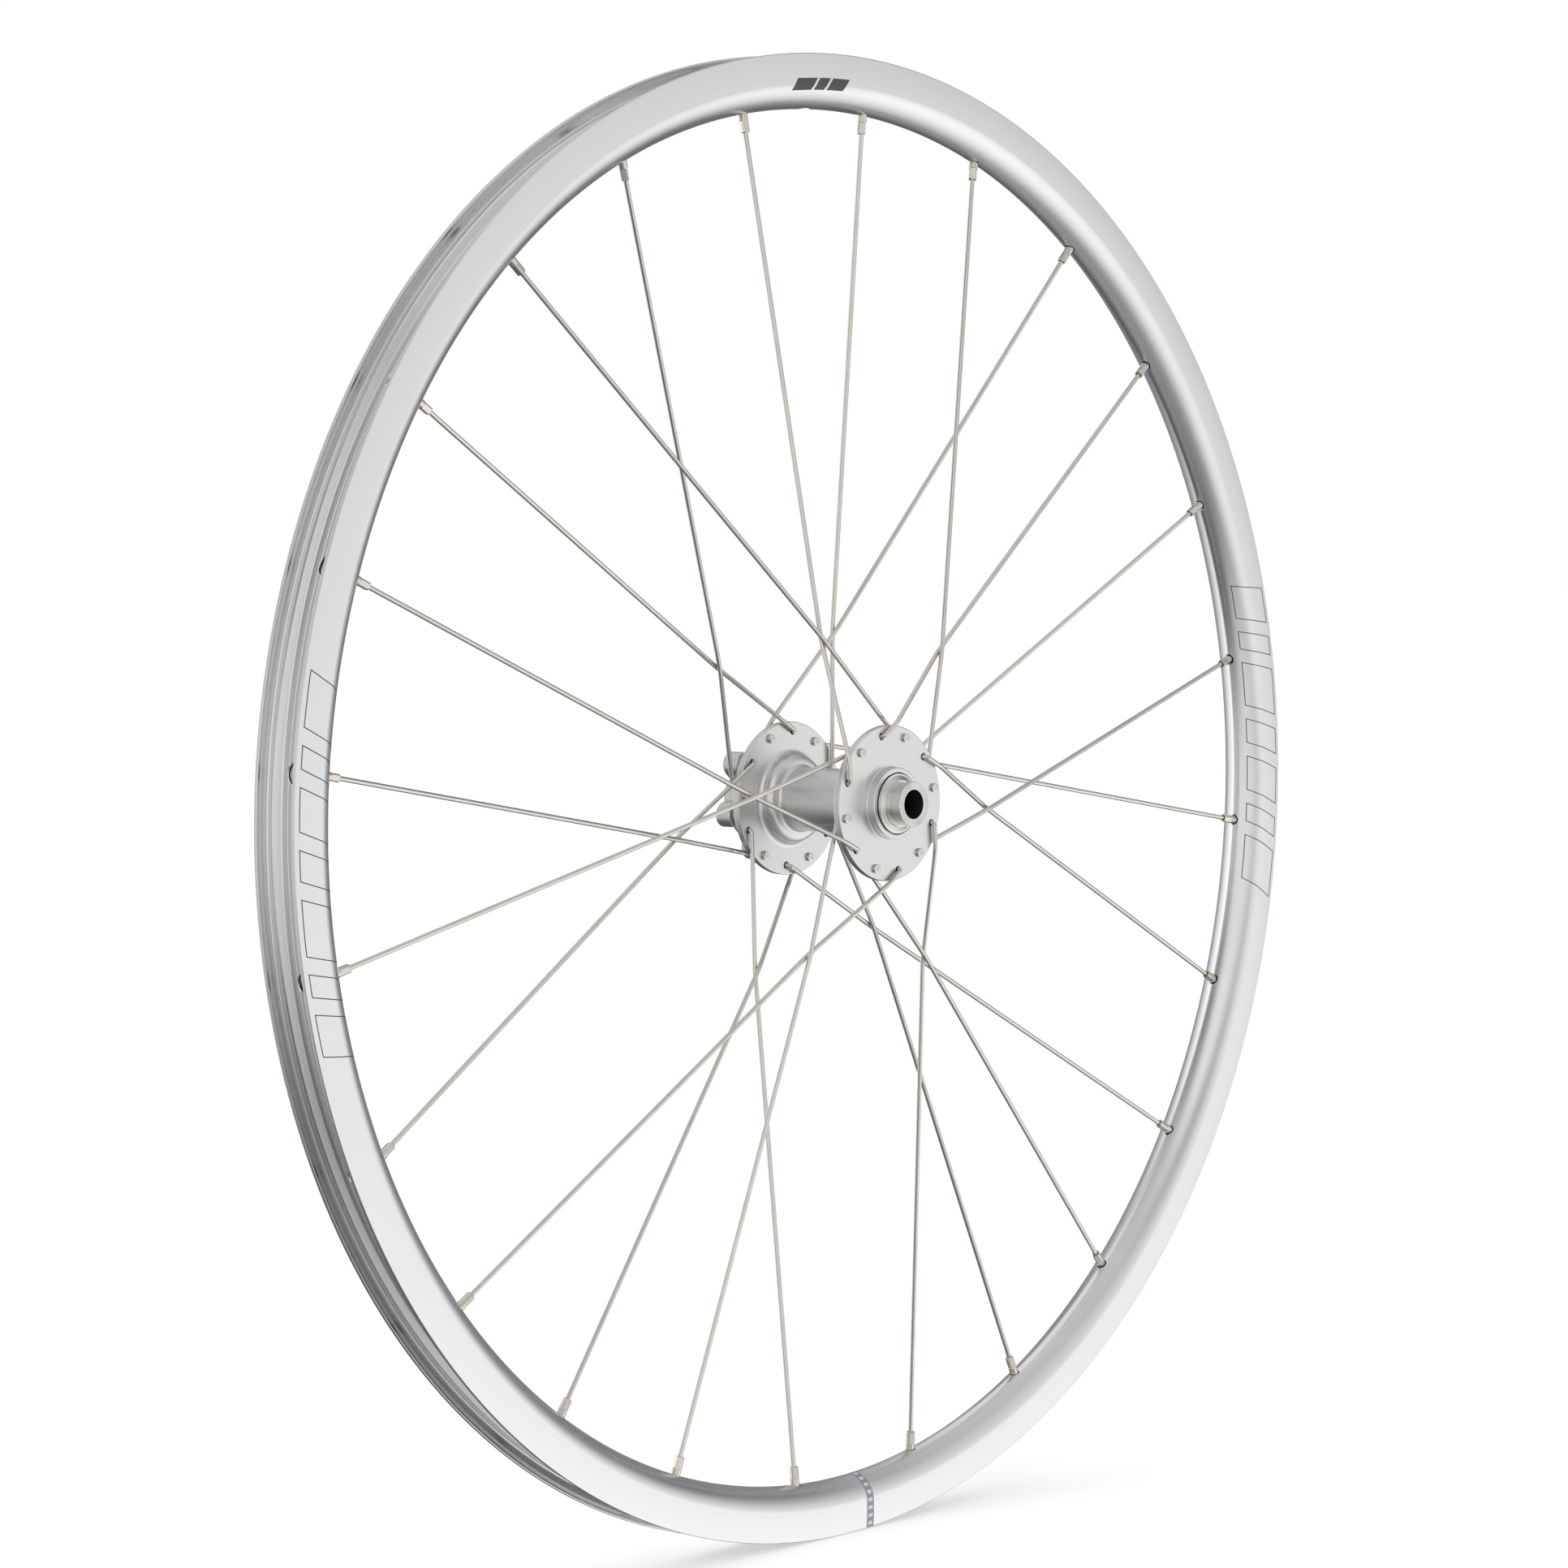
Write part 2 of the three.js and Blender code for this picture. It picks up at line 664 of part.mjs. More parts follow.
// An end cap: a spigot inside the axle, a foot on the bearing's inner race, a shield over
// the bearing, a neck, and the collar whose face the fork end clamps.
function capBody(sign) {
  const end = locknutWidth / 2;
  const neck = boreRadius + capNeckWall;
  const face = neck + capCollarStep;
  const foot = bearingFace + fitGap;
  const footRadius = bearingBoreRadius + raceLand;
  const shieldRadius = bearingRadius - fitGap;
  const shieldTop = shellHalfLength + capShieldProud;
  const collar = end - capCollarLength;
  const corners = [
    [boreRadius, end],
    [face - capChamfer, end],
    [face, end - capChamfer],
    [face, collar],
    [neck, collar],
    [neck, shieldTop + capNeckFlare],
    [neck + capNeckFlare, shieldTop],
    [shieldRadius, shieldTop],
    [shieldRadius, shieldTop - capShieldThickness],
    [footRadius, shieldTop - capShieldThickness],
    [footRadius, foot],
    [spigotRadius, foot],
    [spigotRadius, foot - capSpigotLength],
    [boreRadius, foot - capSpigotLength],
  ];
  return turned(corners.map(([radius, y]) => [radius, sign * y]), capSegments);
}

// ---- assembly ------------------------------------------------------------------------

addPart('rim', rimBody(), finishes.rim);
addPart('rim_joint_sleeve', sleeveBody(), finishes.rim);
addPart('hub_shell', shellBody(), finishes.hub);
addPart('axle', axleBody(), finishes.cap);
for (const [side, sign] of Object.entries(outwards)) {
  addPart(`${side}_end_cap`, capBody(sign), finishes.cap);
  addPart(`${side}_bearing_outer_race`, outerRaceBody(bearingFace, sign), finishes.race);
  addPart(`${side}_bearing_inner_race`, innerRaceBody(bearingFace, sign), finishes.race);
  addPart(`${side}_bearing_ball_cage`, ballCageBody(bearingFace, sign), finishes.race);
}
for (let index = 0; index < spokeCount; index += 1) {
  const number = String(index + 1).padStart(2, '0');
  addPart(`spoke_${number}`, spokeBody(index), finishes.steel);
  addPart(`nipple_${number}`, nippleBody(index), finishes.nickel);
}

export default group;
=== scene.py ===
import math

import bmesh
import bpy
from mathutils import Matrix, Vector


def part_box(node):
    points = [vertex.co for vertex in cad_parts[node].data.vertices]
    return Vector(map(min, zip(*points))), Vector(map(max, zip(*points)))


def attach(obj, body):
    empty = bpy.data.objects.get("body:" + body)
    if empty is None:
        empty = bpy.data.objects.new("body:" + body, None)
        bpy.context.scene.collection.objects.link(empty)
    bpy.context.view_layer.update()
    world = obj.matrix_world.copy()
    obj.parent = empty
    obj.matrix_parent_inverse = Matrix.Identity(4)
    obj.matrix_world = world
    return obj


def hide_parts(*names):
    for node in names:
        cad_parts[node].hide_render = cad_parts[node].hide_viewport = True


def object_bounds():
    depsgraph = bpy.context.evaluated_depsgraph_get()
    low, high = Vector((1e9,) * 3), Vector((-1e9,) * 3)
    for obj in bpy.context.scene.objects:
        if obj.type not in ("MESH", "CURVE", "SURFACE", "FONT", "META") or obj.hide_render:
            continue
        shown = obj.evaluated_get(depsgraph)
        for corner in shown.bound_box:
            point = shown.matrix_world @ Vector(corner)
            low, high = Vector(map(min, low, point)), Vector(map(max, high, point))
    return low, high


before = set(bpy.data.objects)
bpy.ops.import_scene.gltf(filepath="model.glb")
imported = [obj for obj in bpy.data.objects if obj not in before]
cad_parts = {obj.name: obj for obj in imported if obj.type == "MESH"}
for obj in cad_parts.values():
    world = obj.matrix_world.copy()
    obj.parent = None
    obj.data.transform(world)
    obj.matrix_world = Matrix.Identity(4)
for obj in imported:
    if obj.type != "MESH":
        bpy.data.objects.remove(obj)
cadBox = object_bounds()
print("frame loaded")

# A 700C disc-brake front wheel. It turns about Y; -Y is its right side, +Y carries the rotor.
# Lengths are metres, written as millimetres times mm. A clock angle is 0 at the top, 90 at +X.

mm = 0.001
wheelBody = "wheel"
axleBody = "axle_assembly"
rightSide, leftSide = -1, 1


def clockPoint(radius, angle, y):
    return Vector((radius * math.sin(angle), y, radius * math.cos(angle)))


# Rounds the corners of a closed outline. A corner is (radius, y, rounding).
def softOutline(corners, steps=5, hold=0.12 * mm):
    points = []
    for i, corner in enumerate(corners):
        here = Vector(corner[:2])
        rounding = corner[2] if len(corner) > 2 else 0
        if rounding == 0:
            points.append(here)
            continue
        before = (Vector(corners[i - 1][:2]) - here).normalized()
        after = (Vector(corners[(i + 1) % len(corners)][:2]) - here).normalized()
        half = before.angle(after) / 2
        reach = rounding / math.tan(half)
        middle = here + (before + after).normalized() * rounding / math.sin(half)
        start, end = here + before * reach, here + after * reach
        points.append(start + before * hold)
        for k in range(steps + 1):
            spoke = (start - middle).lerp(end - middle, k / steps)
            points.append(middle + spoke.normalized() * rounding)
        points.append(end + after * hold)
    return points


# Corners that were written for the left side, put on either side of the wheel.
def flipped(corners, side):
    return [(corner[0], side * corner[1], *corner[2:]) for corner in corners]


def signedArea(points):
    following = points[1:] + points[:1]
    return sum(a.x * b.y - b.x * a.y for a, b in zip(points, following)) / 2


def newPiece(name, vertices, edges=(), faces=()):
    mesh = bpy.data.meshes.new(name)
    mesh.from_pydata([tuple(v) for v in vertices], list(edges), list(faces))
    mesh.update()
    piece = bpy.data.objects.new(name, mesh)
    bpy.context.scene.collection.objects.link(piece)
    return piece


# The edge loops that a turned part is swept from: its outer outline, then any hollows.
def outlinePiece(name, guide, outer, hollows=()):
    vertices, edges = [], []
    for loop, direction in [(outer, 1)] + [(hollow, -1) for hollow in hollows]:
        points = list(loop)
        if signedArea(points) * direction < 0:
            points.reverse()
        first = len(vertices)
        vertices += [(p.x - guide, p.y, 0) for p in points]
        edges += [(first + k, first + (k + 1) % len(points)) for k in range(len(points))]
    return newPiece(name, vertices, edges)


# A solid turned about its own Z. A ring is (radius, z) or (radius, z, flat), where flat is half
# the distance between four flats that clip it. Closed means that the rings form a tube's wall.
def turnedPiece(name, rings, sides, closed=False):
    vertices, faces = [], []
    for ring in rings:
        radius, z = ring[:2]
        for k in range(sides):
            angle = 2 * math.pi * k / sides
            x, y = math.cos(angle), math.sin(angle)
            r = min(radius, ring[2] / max(abs(x), abs(y))) if len(ring) > 2 else radius
            vertices.append((r * x, r * y, z))
    count = len(rings)
    for i in range(count if closed else count - 1):
        low, high = i * sides, (i + 1) % count * sides
        for k in range(sides):
            n = (k + 1) % sides
            faces.append((low + k, low + n, high + n, high + k))
    if not closed:
        faces.append(tuple(range(sides))[::-1])
        faces.append(tuple(range((count - 1) * sides, count * sides)))
    return newPiece(name, vertices, [], faces)


# A flat shape in X and Z, given depth along Y, with a small bevel round both faces.
def platePiece(name, points, low, high, bevel):
    middle = sum(points, Vector((0, 0))) / len(points)
    inset = [p + (middle - p).normalized() * bevel for p in points]
    vertices, faces, count = [], [], len(points)
    for ring, y in ((inset, low), (points, low + bevel), (points, high - bevel), (inset, high)):
        vertices += [(p.x, y, p.y) for p in ring]
    for i in range(3):
        for k in range(count):
            n = (k + 1) % count
            a, b = i * count, (i + 1) * count
            faces.append((a + k, b + k, b + n, a + n))
    faces.append(tuple(range(count)))
    faces.append(tuple(range(3 * count, 4 * count))[::-1])
    return newPiece(name, vertices, [], faces)


# Points that copies are placed on, each with the direction that the copy's Z turns to.
def placesPiece(name, places):
    piece = newPiece(name, [point for point, axis in places])
    axes = piece.data.attributes.new("axis", "FLOAT_VECTOR", "POINT")
    for k, (point, axis) in enumerate(places):
        axes.data[k].vector = axis
    return piece


def addNode(tree, kind, inputs=None, **settings):
    node = tree.nodes.new(kind)
    for key, value in settings.items():
        setattr(node, key, value)
    for key, value in (inputs or {}).items():
        socket = node.inputs[key]
        if isinstance(value, bpy.types.NodeSocket):
            tree.links.new(value, socket)
        else:
            socket.default_value = value
    return node


finishInputs = [
    ("Material", "Material", None),
    ("Bore Material", "Material", None),
    ("Bore Radius", "Float", 0.0),
    ("Sharp Angle", "Float", math.radians(28)),
]


def newTree(name, inputs):
    tree = bpy.data.node_groups.new(name, "GeometryNodeTree")
    tree.interface.new_socket(name="Geometry", in_out="INPUT", socket_type="NodeSocketGeometry")
    for label, kind, value in inputs + finishInputs:
        socket = tree.interface.new_socket(
            name=label, in_out="INPUT", socket_type="NodeSocket" + kind)
        if value is not None:
            socket.default_value = value
    tree.interface.new_socket(name="Geometry", in_out="OUTPUT", socket_type="NodeSocketGeometry")
    return tree, tree.nodes.new("NodeGroupInput").outputs


def distanceFromAxle(tree):
    position = addNode(tree, "GeometryNodeInputPosition").outputs[0]
    flat = addNode(tree, "ShaderNodeVectorMath", {0: position, 1: (1, 0, 1)}, operation="MULTIPLY")
    length = addNode(tree, "ShaderNodeVectorMath", {0: flat.outputs[0]}, operation="LENGTH")
    return length.outputs["Value"]


# A face counts as square to the axle above this cosine. Averaged over an edge's two faces, a
# border between such a face and another lies halfway, give or take the spread.
evenLook = {"squareCosine": 0.9998, "halfway": 0.5, "spread": 0.3, "weight": 80}


# Edges where a face square to the axle meets one that isn't.
def flatBorders(tree):
    normal = addNode(tree, "GeometryNodeInputNormal").outputs[0]
    across = addNode(tree, "ShaderNodeSeparateXYZ", {0: normal}).outputs[1]
    size = addNode(tree, "ShaderNodeMath", {0: across}, operation="ABSOLUTE").outputs[0]
    flat = addNode(tree, "ShaderNodeMath", {0: size, 1: evenLook["squareCosine"]},
                   operation="GREATER_THAN")
    onFaces = addNode(tree, "GeometryNodeFieldOnDomain", {0: flat.outputs[0]},
                      data_type="FLOAT", domain="FACE").outputs[0]
    return addNode(tree, "FunctionNodeCompare", {
        0: onFaces, 1: evenLook["halfway"], "Epsilon": evenLook["spread"],
    }, data_type="FLOAT", operation="EQUAL").outputs[0]


# Every tree ends alike: smooth faces, sharp edges, real geometry, materials.
def closeTree(tree, given, shape):
    smooth = addNode(tree, "GeometryNodeSetShadeSmooth", {"Geometry": shape}, domain="FACE")
    angle = addNode(tree, "GeometryNodeInputMeshEdgeAngle")
    sharp = addNode(tree, "FunctionNodeCompare", {0: angle.outputs[0], 1: given["Sharp Angle"]},
                    data_type="FLOAT", operation="GREATER_THAN")
    either = addNode(tree, "FunctionNodeBooleanMath",
                     {0: sharp.outputs[0], 1: flatBorders(tree)}, operation="OR")
    crisp = addNode(tree, "GeometryNodeSetShadeSmooth", {
        "Geometry": smooth.outputs[0], "Selection": either.outputs[0], "Shade Smooth": False,
    }, domain="EDGE")
    real = addNode(tree, "GeometryNodeRealizeInstances", {"Geometry": crisp.outputs[0]})
    coat = addNode(tree, "GeometryNodeSetMaterial",
                   {"Geometry": real.outputs[0], "Material": given["Material"]})
    inBore = addNode(tree, "FunctionNodeCompare",
                     {0: distanceFromAxle(tree), 1: given["Bore Radius"]},
                     data_type="FLOAT", operation="LESS_THAN")
    bore = addNode(tree, "GeometryNodeSetMaterial", {
        "Geometry": coat.outputs[0], "Selection": inBore.outputs[0],
        "Material": given["Bore Material"]})
    end = tree.nodes.new("NodeGroupOutput")
    tree.links.new(bore.outputs[0], end.inputs[0])
    return tree


# Sweeps an outline round the axle.
def makeTurnTree():
    tree, given = newTree("turnRound", [("Guide Radius", "Float", 0.02), ("Steps", "Int", 96)])
    ring = addNode(tree, "GeometryNodeCurvePrimitiveCircle",
                   {"Resolution": given["Steps"], "Radius": given["Guide Radius"]})
    upright = addNode(tree, "GeometryNodeSetCurveNormal", {"Curve": ring.outputs[0]}, mode="Z_UP")
    outline = addNode(tree, "GeometryNodeMeshToCurve", {"Mesh": given["Geometry"]})
    swept = addNode(tree, "GeometryNodeCurveToMesh",
                    {"Curve": upright.outputs[0], "Profile Curve": outline.outputs[0]})
    turned = addNode(tree, "GeometryNodeTransform", {
        "Geometry": swept.outputs[0], "Rotation": (math.pi / 2, 0, 0)})
    return closeTree(tree, given, turned.outputs[0])


def objectShape(tree, socket):
    return addNode(tree, "GeometryNodeObjectInfo", {"Object": socket}).outputs["Geometry"]


def placeCopies(tree, given, points, turn):
    copies = addNode(tree, "GeometryNodeInstanceOnPoints", {
        "Points": points, "Instance": objectShape(tree, given["Copy"]), "Rotation": turn})
    real = addNode(tree, "GeometryNodeRealizeInstances", {"Geometry": copies.outputs[0]})
    return real.outputs[0]


# Copies of a shape that stands at the top of the wheel, turned round the axle to each place.
def ringOf(tree, given):
    spots = addNode(tree, "GeometryNodeMeshLine", {
        "Count": given["Count"], "Start Location": (0, 0, 0), "Offset": (0, 0, 0)}, mode="OFFSET")
    index = addNode(tree, "GeometryNodeInputIndex").outputs[0]
    step = addNode(tree, "ShaderNodeMath", {0: 2 * math.pi, 1: given["Count"]}, operation="DIVIDE")
    angle = addNode(tree, "ShaderNodeMath", {
        0: index, 1: step.outputs[0], 2: given["First Angle"]}, operation="MULTIPLY_ADD")
    turn = addNode(tree, "FunctionNodeAxisAngleToRotation",
                   {"Axis": (0, 1, 0), "Angle": angle.outputs[0]})
    return placeCopies(tree, given, spots.outputs[0], turn.outputs[0])


# Copies of a shape whose Z is turned to each place's own axis, with a seeded roll about it.
def copiesAt(tree, given, places):
    axis = addNode(tree, "GeometryNodeInputNamedAttribute", {"Name": "axis"},
                   data_type="FLOAT_VECTOR").outputs[0]
    aimed = addNode(tree, "FunctionNodeAlignRotationToVector", {"Vector": axis}, axis="Z")
    chance = addNode(tree, "FunctionNodeRandomValue", {
        2: 0.0, 3: given["Most Roll"], "Seed": given["Roll Seed"]}, data_type="FLOAT")
    roll = addNode(tree, "FunctionNodeAxisAngleToRotation",
                   {"Axis": (0, 0, 1), "Angle": chance.outputs[1]})
    turn = addNode(tree, "FunctionNodeRotateRotation", {
        0: aimed.outputs[0], 1: roll.outputs[0]}, rotation_space="LOCAL")
    return placeCopies(tree, given, places, turn.outputs[0])


def joinOrCut(tree, first, second, operation):
    node = addNode(tree, "GeometryNodeMeshBoolean", operation=operation, solver="MANIFOLD")
    tree.links.new(second, node.inputs["Mesh 2"])
    tree.links.new(first, node.inputs["Mesh 1" if operation == "DIFFERENCE" else "Mesh 2"])
    return node.outputs["Mesh"]


def makeRingTree(name, operation):
    tree, given = newTree(name, [
        ("Copy", "Object", None), ("Count", "Int", 1), ("First Angle", "Float", 0.0)])
    shape = joinOrCut(tree, given["Geometry"], ringOf(tree, given), operation)
    return closeTree(tree, given, shape)


copyInputs = [("Copy", "Object", None), ("Most Roll", "Float", 0.0), ("Roll Seed", "Int", 7)]


def makePlacedCutTree():
    tree, given = newTree("cutAtPlaces", [("Places", "Object", None)] + copyInputs)
    cutters = copiesAt(tree, given, objectShape(tree, given["Places"]))
    shape = joinOrCut(tree, given["Geometry"], cutters, "DIFFERENCE")
    return closeTree(tree, given, shape)


def makeCopyTree():
    tree, given = newTree("copyToPlaces", copyInputs)
    return closeTree(tree, given, copiesAt(tree, given, given["Geometry"]))


# Draws round wire along routes whose corners carry a "bend" radius, and heads its ends.
def makeWireTree():
    tree, given = newTree("drawWire", [
        ("Wire Radius", "Float", 1 * mm), ("Sides", "Int", 16), ("Bend Steps", "Int", 6),
        ("Places", "Object", None)] + copyInputs)
    route = addNode(tree, "GeometryNodeMeshToCurve", {"Mesh": given["Geometry"]})
    bend = addNode(tree, "GeometryNodeInputNamedAttribute", {"Name": "bend"}, data_type="FLOAT")
    soft = addNode(tree, "GeometryNodeFilletCurve", {
        "Curve": route.outputs[0], "Count": given["Bend Steps"], "Radius": bend.outputs[0],
        "Limit Radius": True}, mode="POLY")
    section = addNode(tree, "GeometryNodeCurvePrimitiveCircle",
                      {"Resolution": given["Sides"], "Radius": given["Wire Radius"]})
    wire = addNode(tree, "GeometryNodeCurveToMesh", {
        "Curve": soft.outputs[0], "Profile Curve": section.outputs[0], "Fill Caps": True})
    heads = copiesAt(tree, given, objectShape(tree, given["Places"]))
    return closeTree(tree, given, joinOrCut(tree, wire.outputs[0], heads, "UNION"))


turnTree = makeTurnTree()
ringCutTree = makeRingTree("cutRound", "DIFFERENCE")
ringJoinTree = makeRingTree("joinRound", "UNION")
ringKeepTree = makeRingTree("keepRound", "INTERSECT")
placedCutTree = makePlacedCutTree()
copyTree = makeCopyTree()
wireTree = makeWireTree()
print("node trees built")


# Adds a tree as a modifier. An input is set by its socket's identifier.
def addTree(piece, tree, finish, **values):
    modifier = piece.modifiers.new(tree.name, "NODES")
    modifier.node_group = tree
    named = {label.replace(" ", ""): value for label, value in finish.items()}
    named.setdefault("BoreMaterial", finish["Material"])
    named.update({key[0].upper() + key[1:]: value for key, value in values.items()})
    for socket in tree.interface.items_tree:
        if socket.item_type == "SOCKET" and socket.in_out == "INPUT":
            value = named.get(socket.name.replace(" ", ""))
            if value is not None:
                modifier[socket.identifier] = value


# Turns the modifiers' result into a plain mesh. Large faces keep their own direction, so that
# flats stay flat beside rounded edges.
def makePlain(piece):
    even = piece.modifiers.new("evenNormals", "WEIGHTED_NORMAL")
    even.keep_sharp = True
    even.weight = evenLook["weight"]
    graph = bpy.context.evaluated_depsgraph_get()
    made = bpy.data.meshes.new_from_object(piece.evaluated_get(graph), depsgraph=graph)
    piece.modifiers.clear()
    before = piece.data
    piece.data = made
    bpy.data.meshes.remove(before)
    made.name = piece.name
    print(piece.name, len(made.polygons), "faces")


def discard(*helpers):
    for helper in helpers:
        mesh = helper.data
        bpy.data.objects.remove(helper)
        bpy.data.meshes.remove(mesh)


def newGroup(name, inputs, outputs):
    group = bpy.data.node_groups.new(name, "ShaderNodeTree")
    for label, kind, value in inputs:
        socket = group.interface.new_socket(
            name=label, in_out="INPUT", socket_type="NodeSocket" + kind)
        socket.default_value = value
    for label, kind in outputs:
        group.interface.new_socket(
            name=label, in_out="OUTPUT", socket_type="NodeSocket" + kind)
    given = group.nodes.new("NodeGroupInput").outputs
    return group, given, group.nodes.new("NodeGroupOutput").inputs


def mathNode(tree, operation, *values, clamp=False):
    inputs = dict(enumerate(values))
    return addNode(tree, "ShaderNodeMath", inputs, operation=operation, use_clamp=clamp).outputs[0]


# Lines that a lathe or a polishing belt leaves, which run round the axle.
def makeLatheLines():
    group, given, made = newGroup(
        "latheLines", [("Spacing", "Float", 0.4 * mm), ("Break Up", "Float", 0.5)],
        [("Lines", "Float")])
    place = addNode(group, "ShaderNodeTexCoord").outputs["Object"]
    apart = addNode(group, "ShaderNodeSeparateXYZ", {0: place}).outputs
    squares = mathNode(group, "ADD", mathNode(group, "MULTIPLY", apart[0], apart[0]),
                       mathNode(group, "MULTIPLY", apart[2], apart[2]))
    radius = mathNode(group, "SQRT", squares)
    density = mathNode(group, "DIVIDE", 1.0, given["Spacing"])
    around = mathNode(group, "ARCTAN2", apart[0], apart[2])
    spot = addNode(group, "ShaderNodeCombineXYZ", {
        0: mathNode(group, "MULTIPLY", radius, density),
        1: mathNode(group, "MULTIPLY", apart[1], density),
        2: mathNode(group, "MULTIPLY", around, given["Break Up"])}).outputs[0]
    noise = addNode(group, "ShaderNodeTexNoise", {
        "Vector": spot, "Scale": 1.0, "Detail": 3.0, "Roughness": 0.6})
    group.links.new(noise.outputs[0], made["Lines"])
    return group


# Fine blasted or anodised grain.
def makeFineGrain():
    group, given, made = newGroup(
        "fineGrain", [("Grain Size", "Float", 0.15 * mm), ("Softness", "Float", 0.5)],
        [("Grain", "Float")])
    place = addNode(group, "ShaderNodeTexCoord").outputs["Object"]
    noise = addNode(group, "ShaderNodeTexNoise", {
        "Vector": place, "Scale": mathNode(group, "DIVIDE", 1.0, given["Grain Size"]),
        "Detail": 2.0, "Roughness": given["Softness"]})
    group.links.new(noise.outputs[0], made["Grain"])
    return group


# Broad cloudy patches, from handling and from uneven polish.
def makeCloudyFilm():
    group, given, made = newGroup(
        "cloudyFilm", [("Patch Size", "Float", 30 * mm), ("Contrast", "Float", 1.0)],
        [("Film", "Float")])
    place = addNode(group, "ShaderNodeTexCoord").outputs["Object"]
    noise = addNode(group, "ShaderNodeTexNoise", {
        "Vector": place, "Scale": mathNode(group, "DIVIDE", 1.0, given["Patch Size"]),
        "Detail": 4.0, "Roughness": 0.55})
    centred = mathNode(group, "SUBTRACT", noise.outputs[0], 0.5)
    film = mathNode(group, "MULTIPLY_ADD", centred, given["Contrast"], 0.5, clamp=True)
    group.links.new(film, made["Film"])
    return group


latheLines = makeLatheLines()
fineGrain = makeFineGrain()
cloudyFilm = makeCloudyFilm()


def useGroup(tree, group, **values):
    node = tree.nodes.new("ShaderNodeGroup")
    node.node_tree = group
    for socket in node.inputs:
        key = socket.name.replace(" ", "")
        key = key[0].lower() + key[1:]
        if key in values:
            socket.default_value = values[key]
    return node.outputs[0]


def newMaterial(name):
    material = bpy.data.materials.new(name)
    material.use_nodes = True
    tree = material.node_tree
    return material, tree, tree.nodes["Principled BSDF"].inputs


def mixColours(tree, share, first, second):
    node = addNode(tree, "ShaderNodeMix", {0: share, 6: first, 7: second}, data_type="RGBA")
    return node.outputs[2]


# A bare or clear-anodised metal: lathe lines, grain and film vary its colour and roughness.
def makeMetal(name, look):
    material, tree, shader = newMaterial(name)
    lines = useGroup(tree, latheLines, spacing=look["lineSpacing"], breakUp=look["lineBreak"])
    grain = useGroup(tree, fineGrain, grainSize=look["grainSize"])
    film = useGroup(tree, cloudyFilm, patchSize=look["patchSize"], contrast=look["filmContrast"])
    tone = mathNode(tree, "ADD", mathNode(tree, "MULTIPLY", lines, look["lineTone"]),
                    mathNode(tree, "MULTIPLY", film, 1 - look["lineTone"]))
    colour = mixColours(tree, tone, (*look["dark"], 1), (*look["light"], 1))
    tree.links.new(colour, shader["Base Color"])
    spread = mathNode(tree, "MULTIPLY", mathNode(tree, "SUBTRACT", film, 0.5), look["filmRough"])
    streak = mathNode(tree, "MULTIPLY", mathNode(tree, "SUBTRACT", lines, 0.5), look["lineRough"])
    rough = mathNode(tree, "ADD", mathNode(tree, "ADD", spread, streak), look["roughness"])
    tree.links.new(rough, shader["Roughness"])
    shader["Metallic"].default_value = 1.0
    height = mathNode(tree, "ADD", mathNode(tree, "MULTIPLY", lines, look["lineDepth"]),
                      mathNode(tree, "MULTIPLY", grain, look["grainDepth"]))
    bump = addNode(tree, "ShaderNodeBump", {"Height": height, "Strength": 1.0, "Distance": 1.0})
    tree.links.new(bump.outputs[0], shader["Normal"])
    return material


silverBase = {
    "lineSpacing": 0.5 * mm, "lineBreak": 0.6, "lineTone": 0.5, "lineRough": 0.10,
    "lineDepth": 0.0006 * mm, "grainSize": 0.2 * mm, "grainDepth": 0.0006 * mm,
    "patchSize": 45 * mm, "filmContrast": 1.6, "filmRough": 0.08,
    "dark": (0.705, 0.708, 0.715), "light": (0.785, 0.788, 0.795),
    "roughness": 0.27,
}
rimSilver = makeMetal("polishedRimSilver", silverBase)
hubSilver = makeMetal("satinHubSilver", {
    **silverBase, "lineSpacing": 0.35 * mm, "lineDepth": 0.0010 * mm, "roughness": 0.32,
    "patchSize": 18 * mm, "dark": (0.69, 0.688, 0.68), "light": (0.765, 0.762, 0.755),
})
capSilver = makeMetal("turnedCapSilver", {
    **silverBase, "lineSpacing": 0.22 * mm, "lineDepth": 0.0012 * mm, "roughness": 0.26,
    "patchSize": 9 * mm, "dark": (0.66, 0.65, 0.62), "light": (0.78, 0.765, 0.73),
})
spokeSteel = makeMetal("drawnSpokeSteel", {
    **silverBase, "lineSpacing": 1.2 * mm, "lineTone": 0.3, "lineDepth": 0.0003 * mm,
    "grainSize": 0.1 * mm, "patchSize": 12 * mm, "roughness": 0.17,
    "dark": (0.58, 0.55, 0.50), "light": (0.73, 0.70, 0.65),
})
nippleNickel = makeMetal("nickelledBrass", {
    **silverBase, "lineSpacing": 0.6 * mm, "lineTone": 0.3, "patchSize": 3 * mm,
    "roughness": 0.25, "dark": (0.60, 0.565, 0.50), "light": (0.74, 0.70, 0.63),
})
bearingSteel = makeMetal("groundBearingSteel", {
    **silverBase, "lineSpacing": 0.12 * mm, "roughness": 0.16, "patchSize": 6 * mm,
    "dark": (0.58, 0.59, 0.60), "light": (0.68, 0.69, 0.70),
})


# A flat layer whose grain varies its colour and roughness: print, and the painted shade inside a
# bore.
def makeLayer(name, look, dark, light):
    material, tree, shader = newMaterial(name)
    grain = useGroup(tree, fineGrain, grainSize=look["grainSize"])
    tree.links.new(mixColours(tree, grain, (*dark, 1), (*light, 1)), shader["Base Color"])
    rough = mathNode(tree, "MULTIPLY_ADD", grain, look["grainRough"], look["roughness"])
    tree.links.new(rough, shader["Roughness"])
    return material
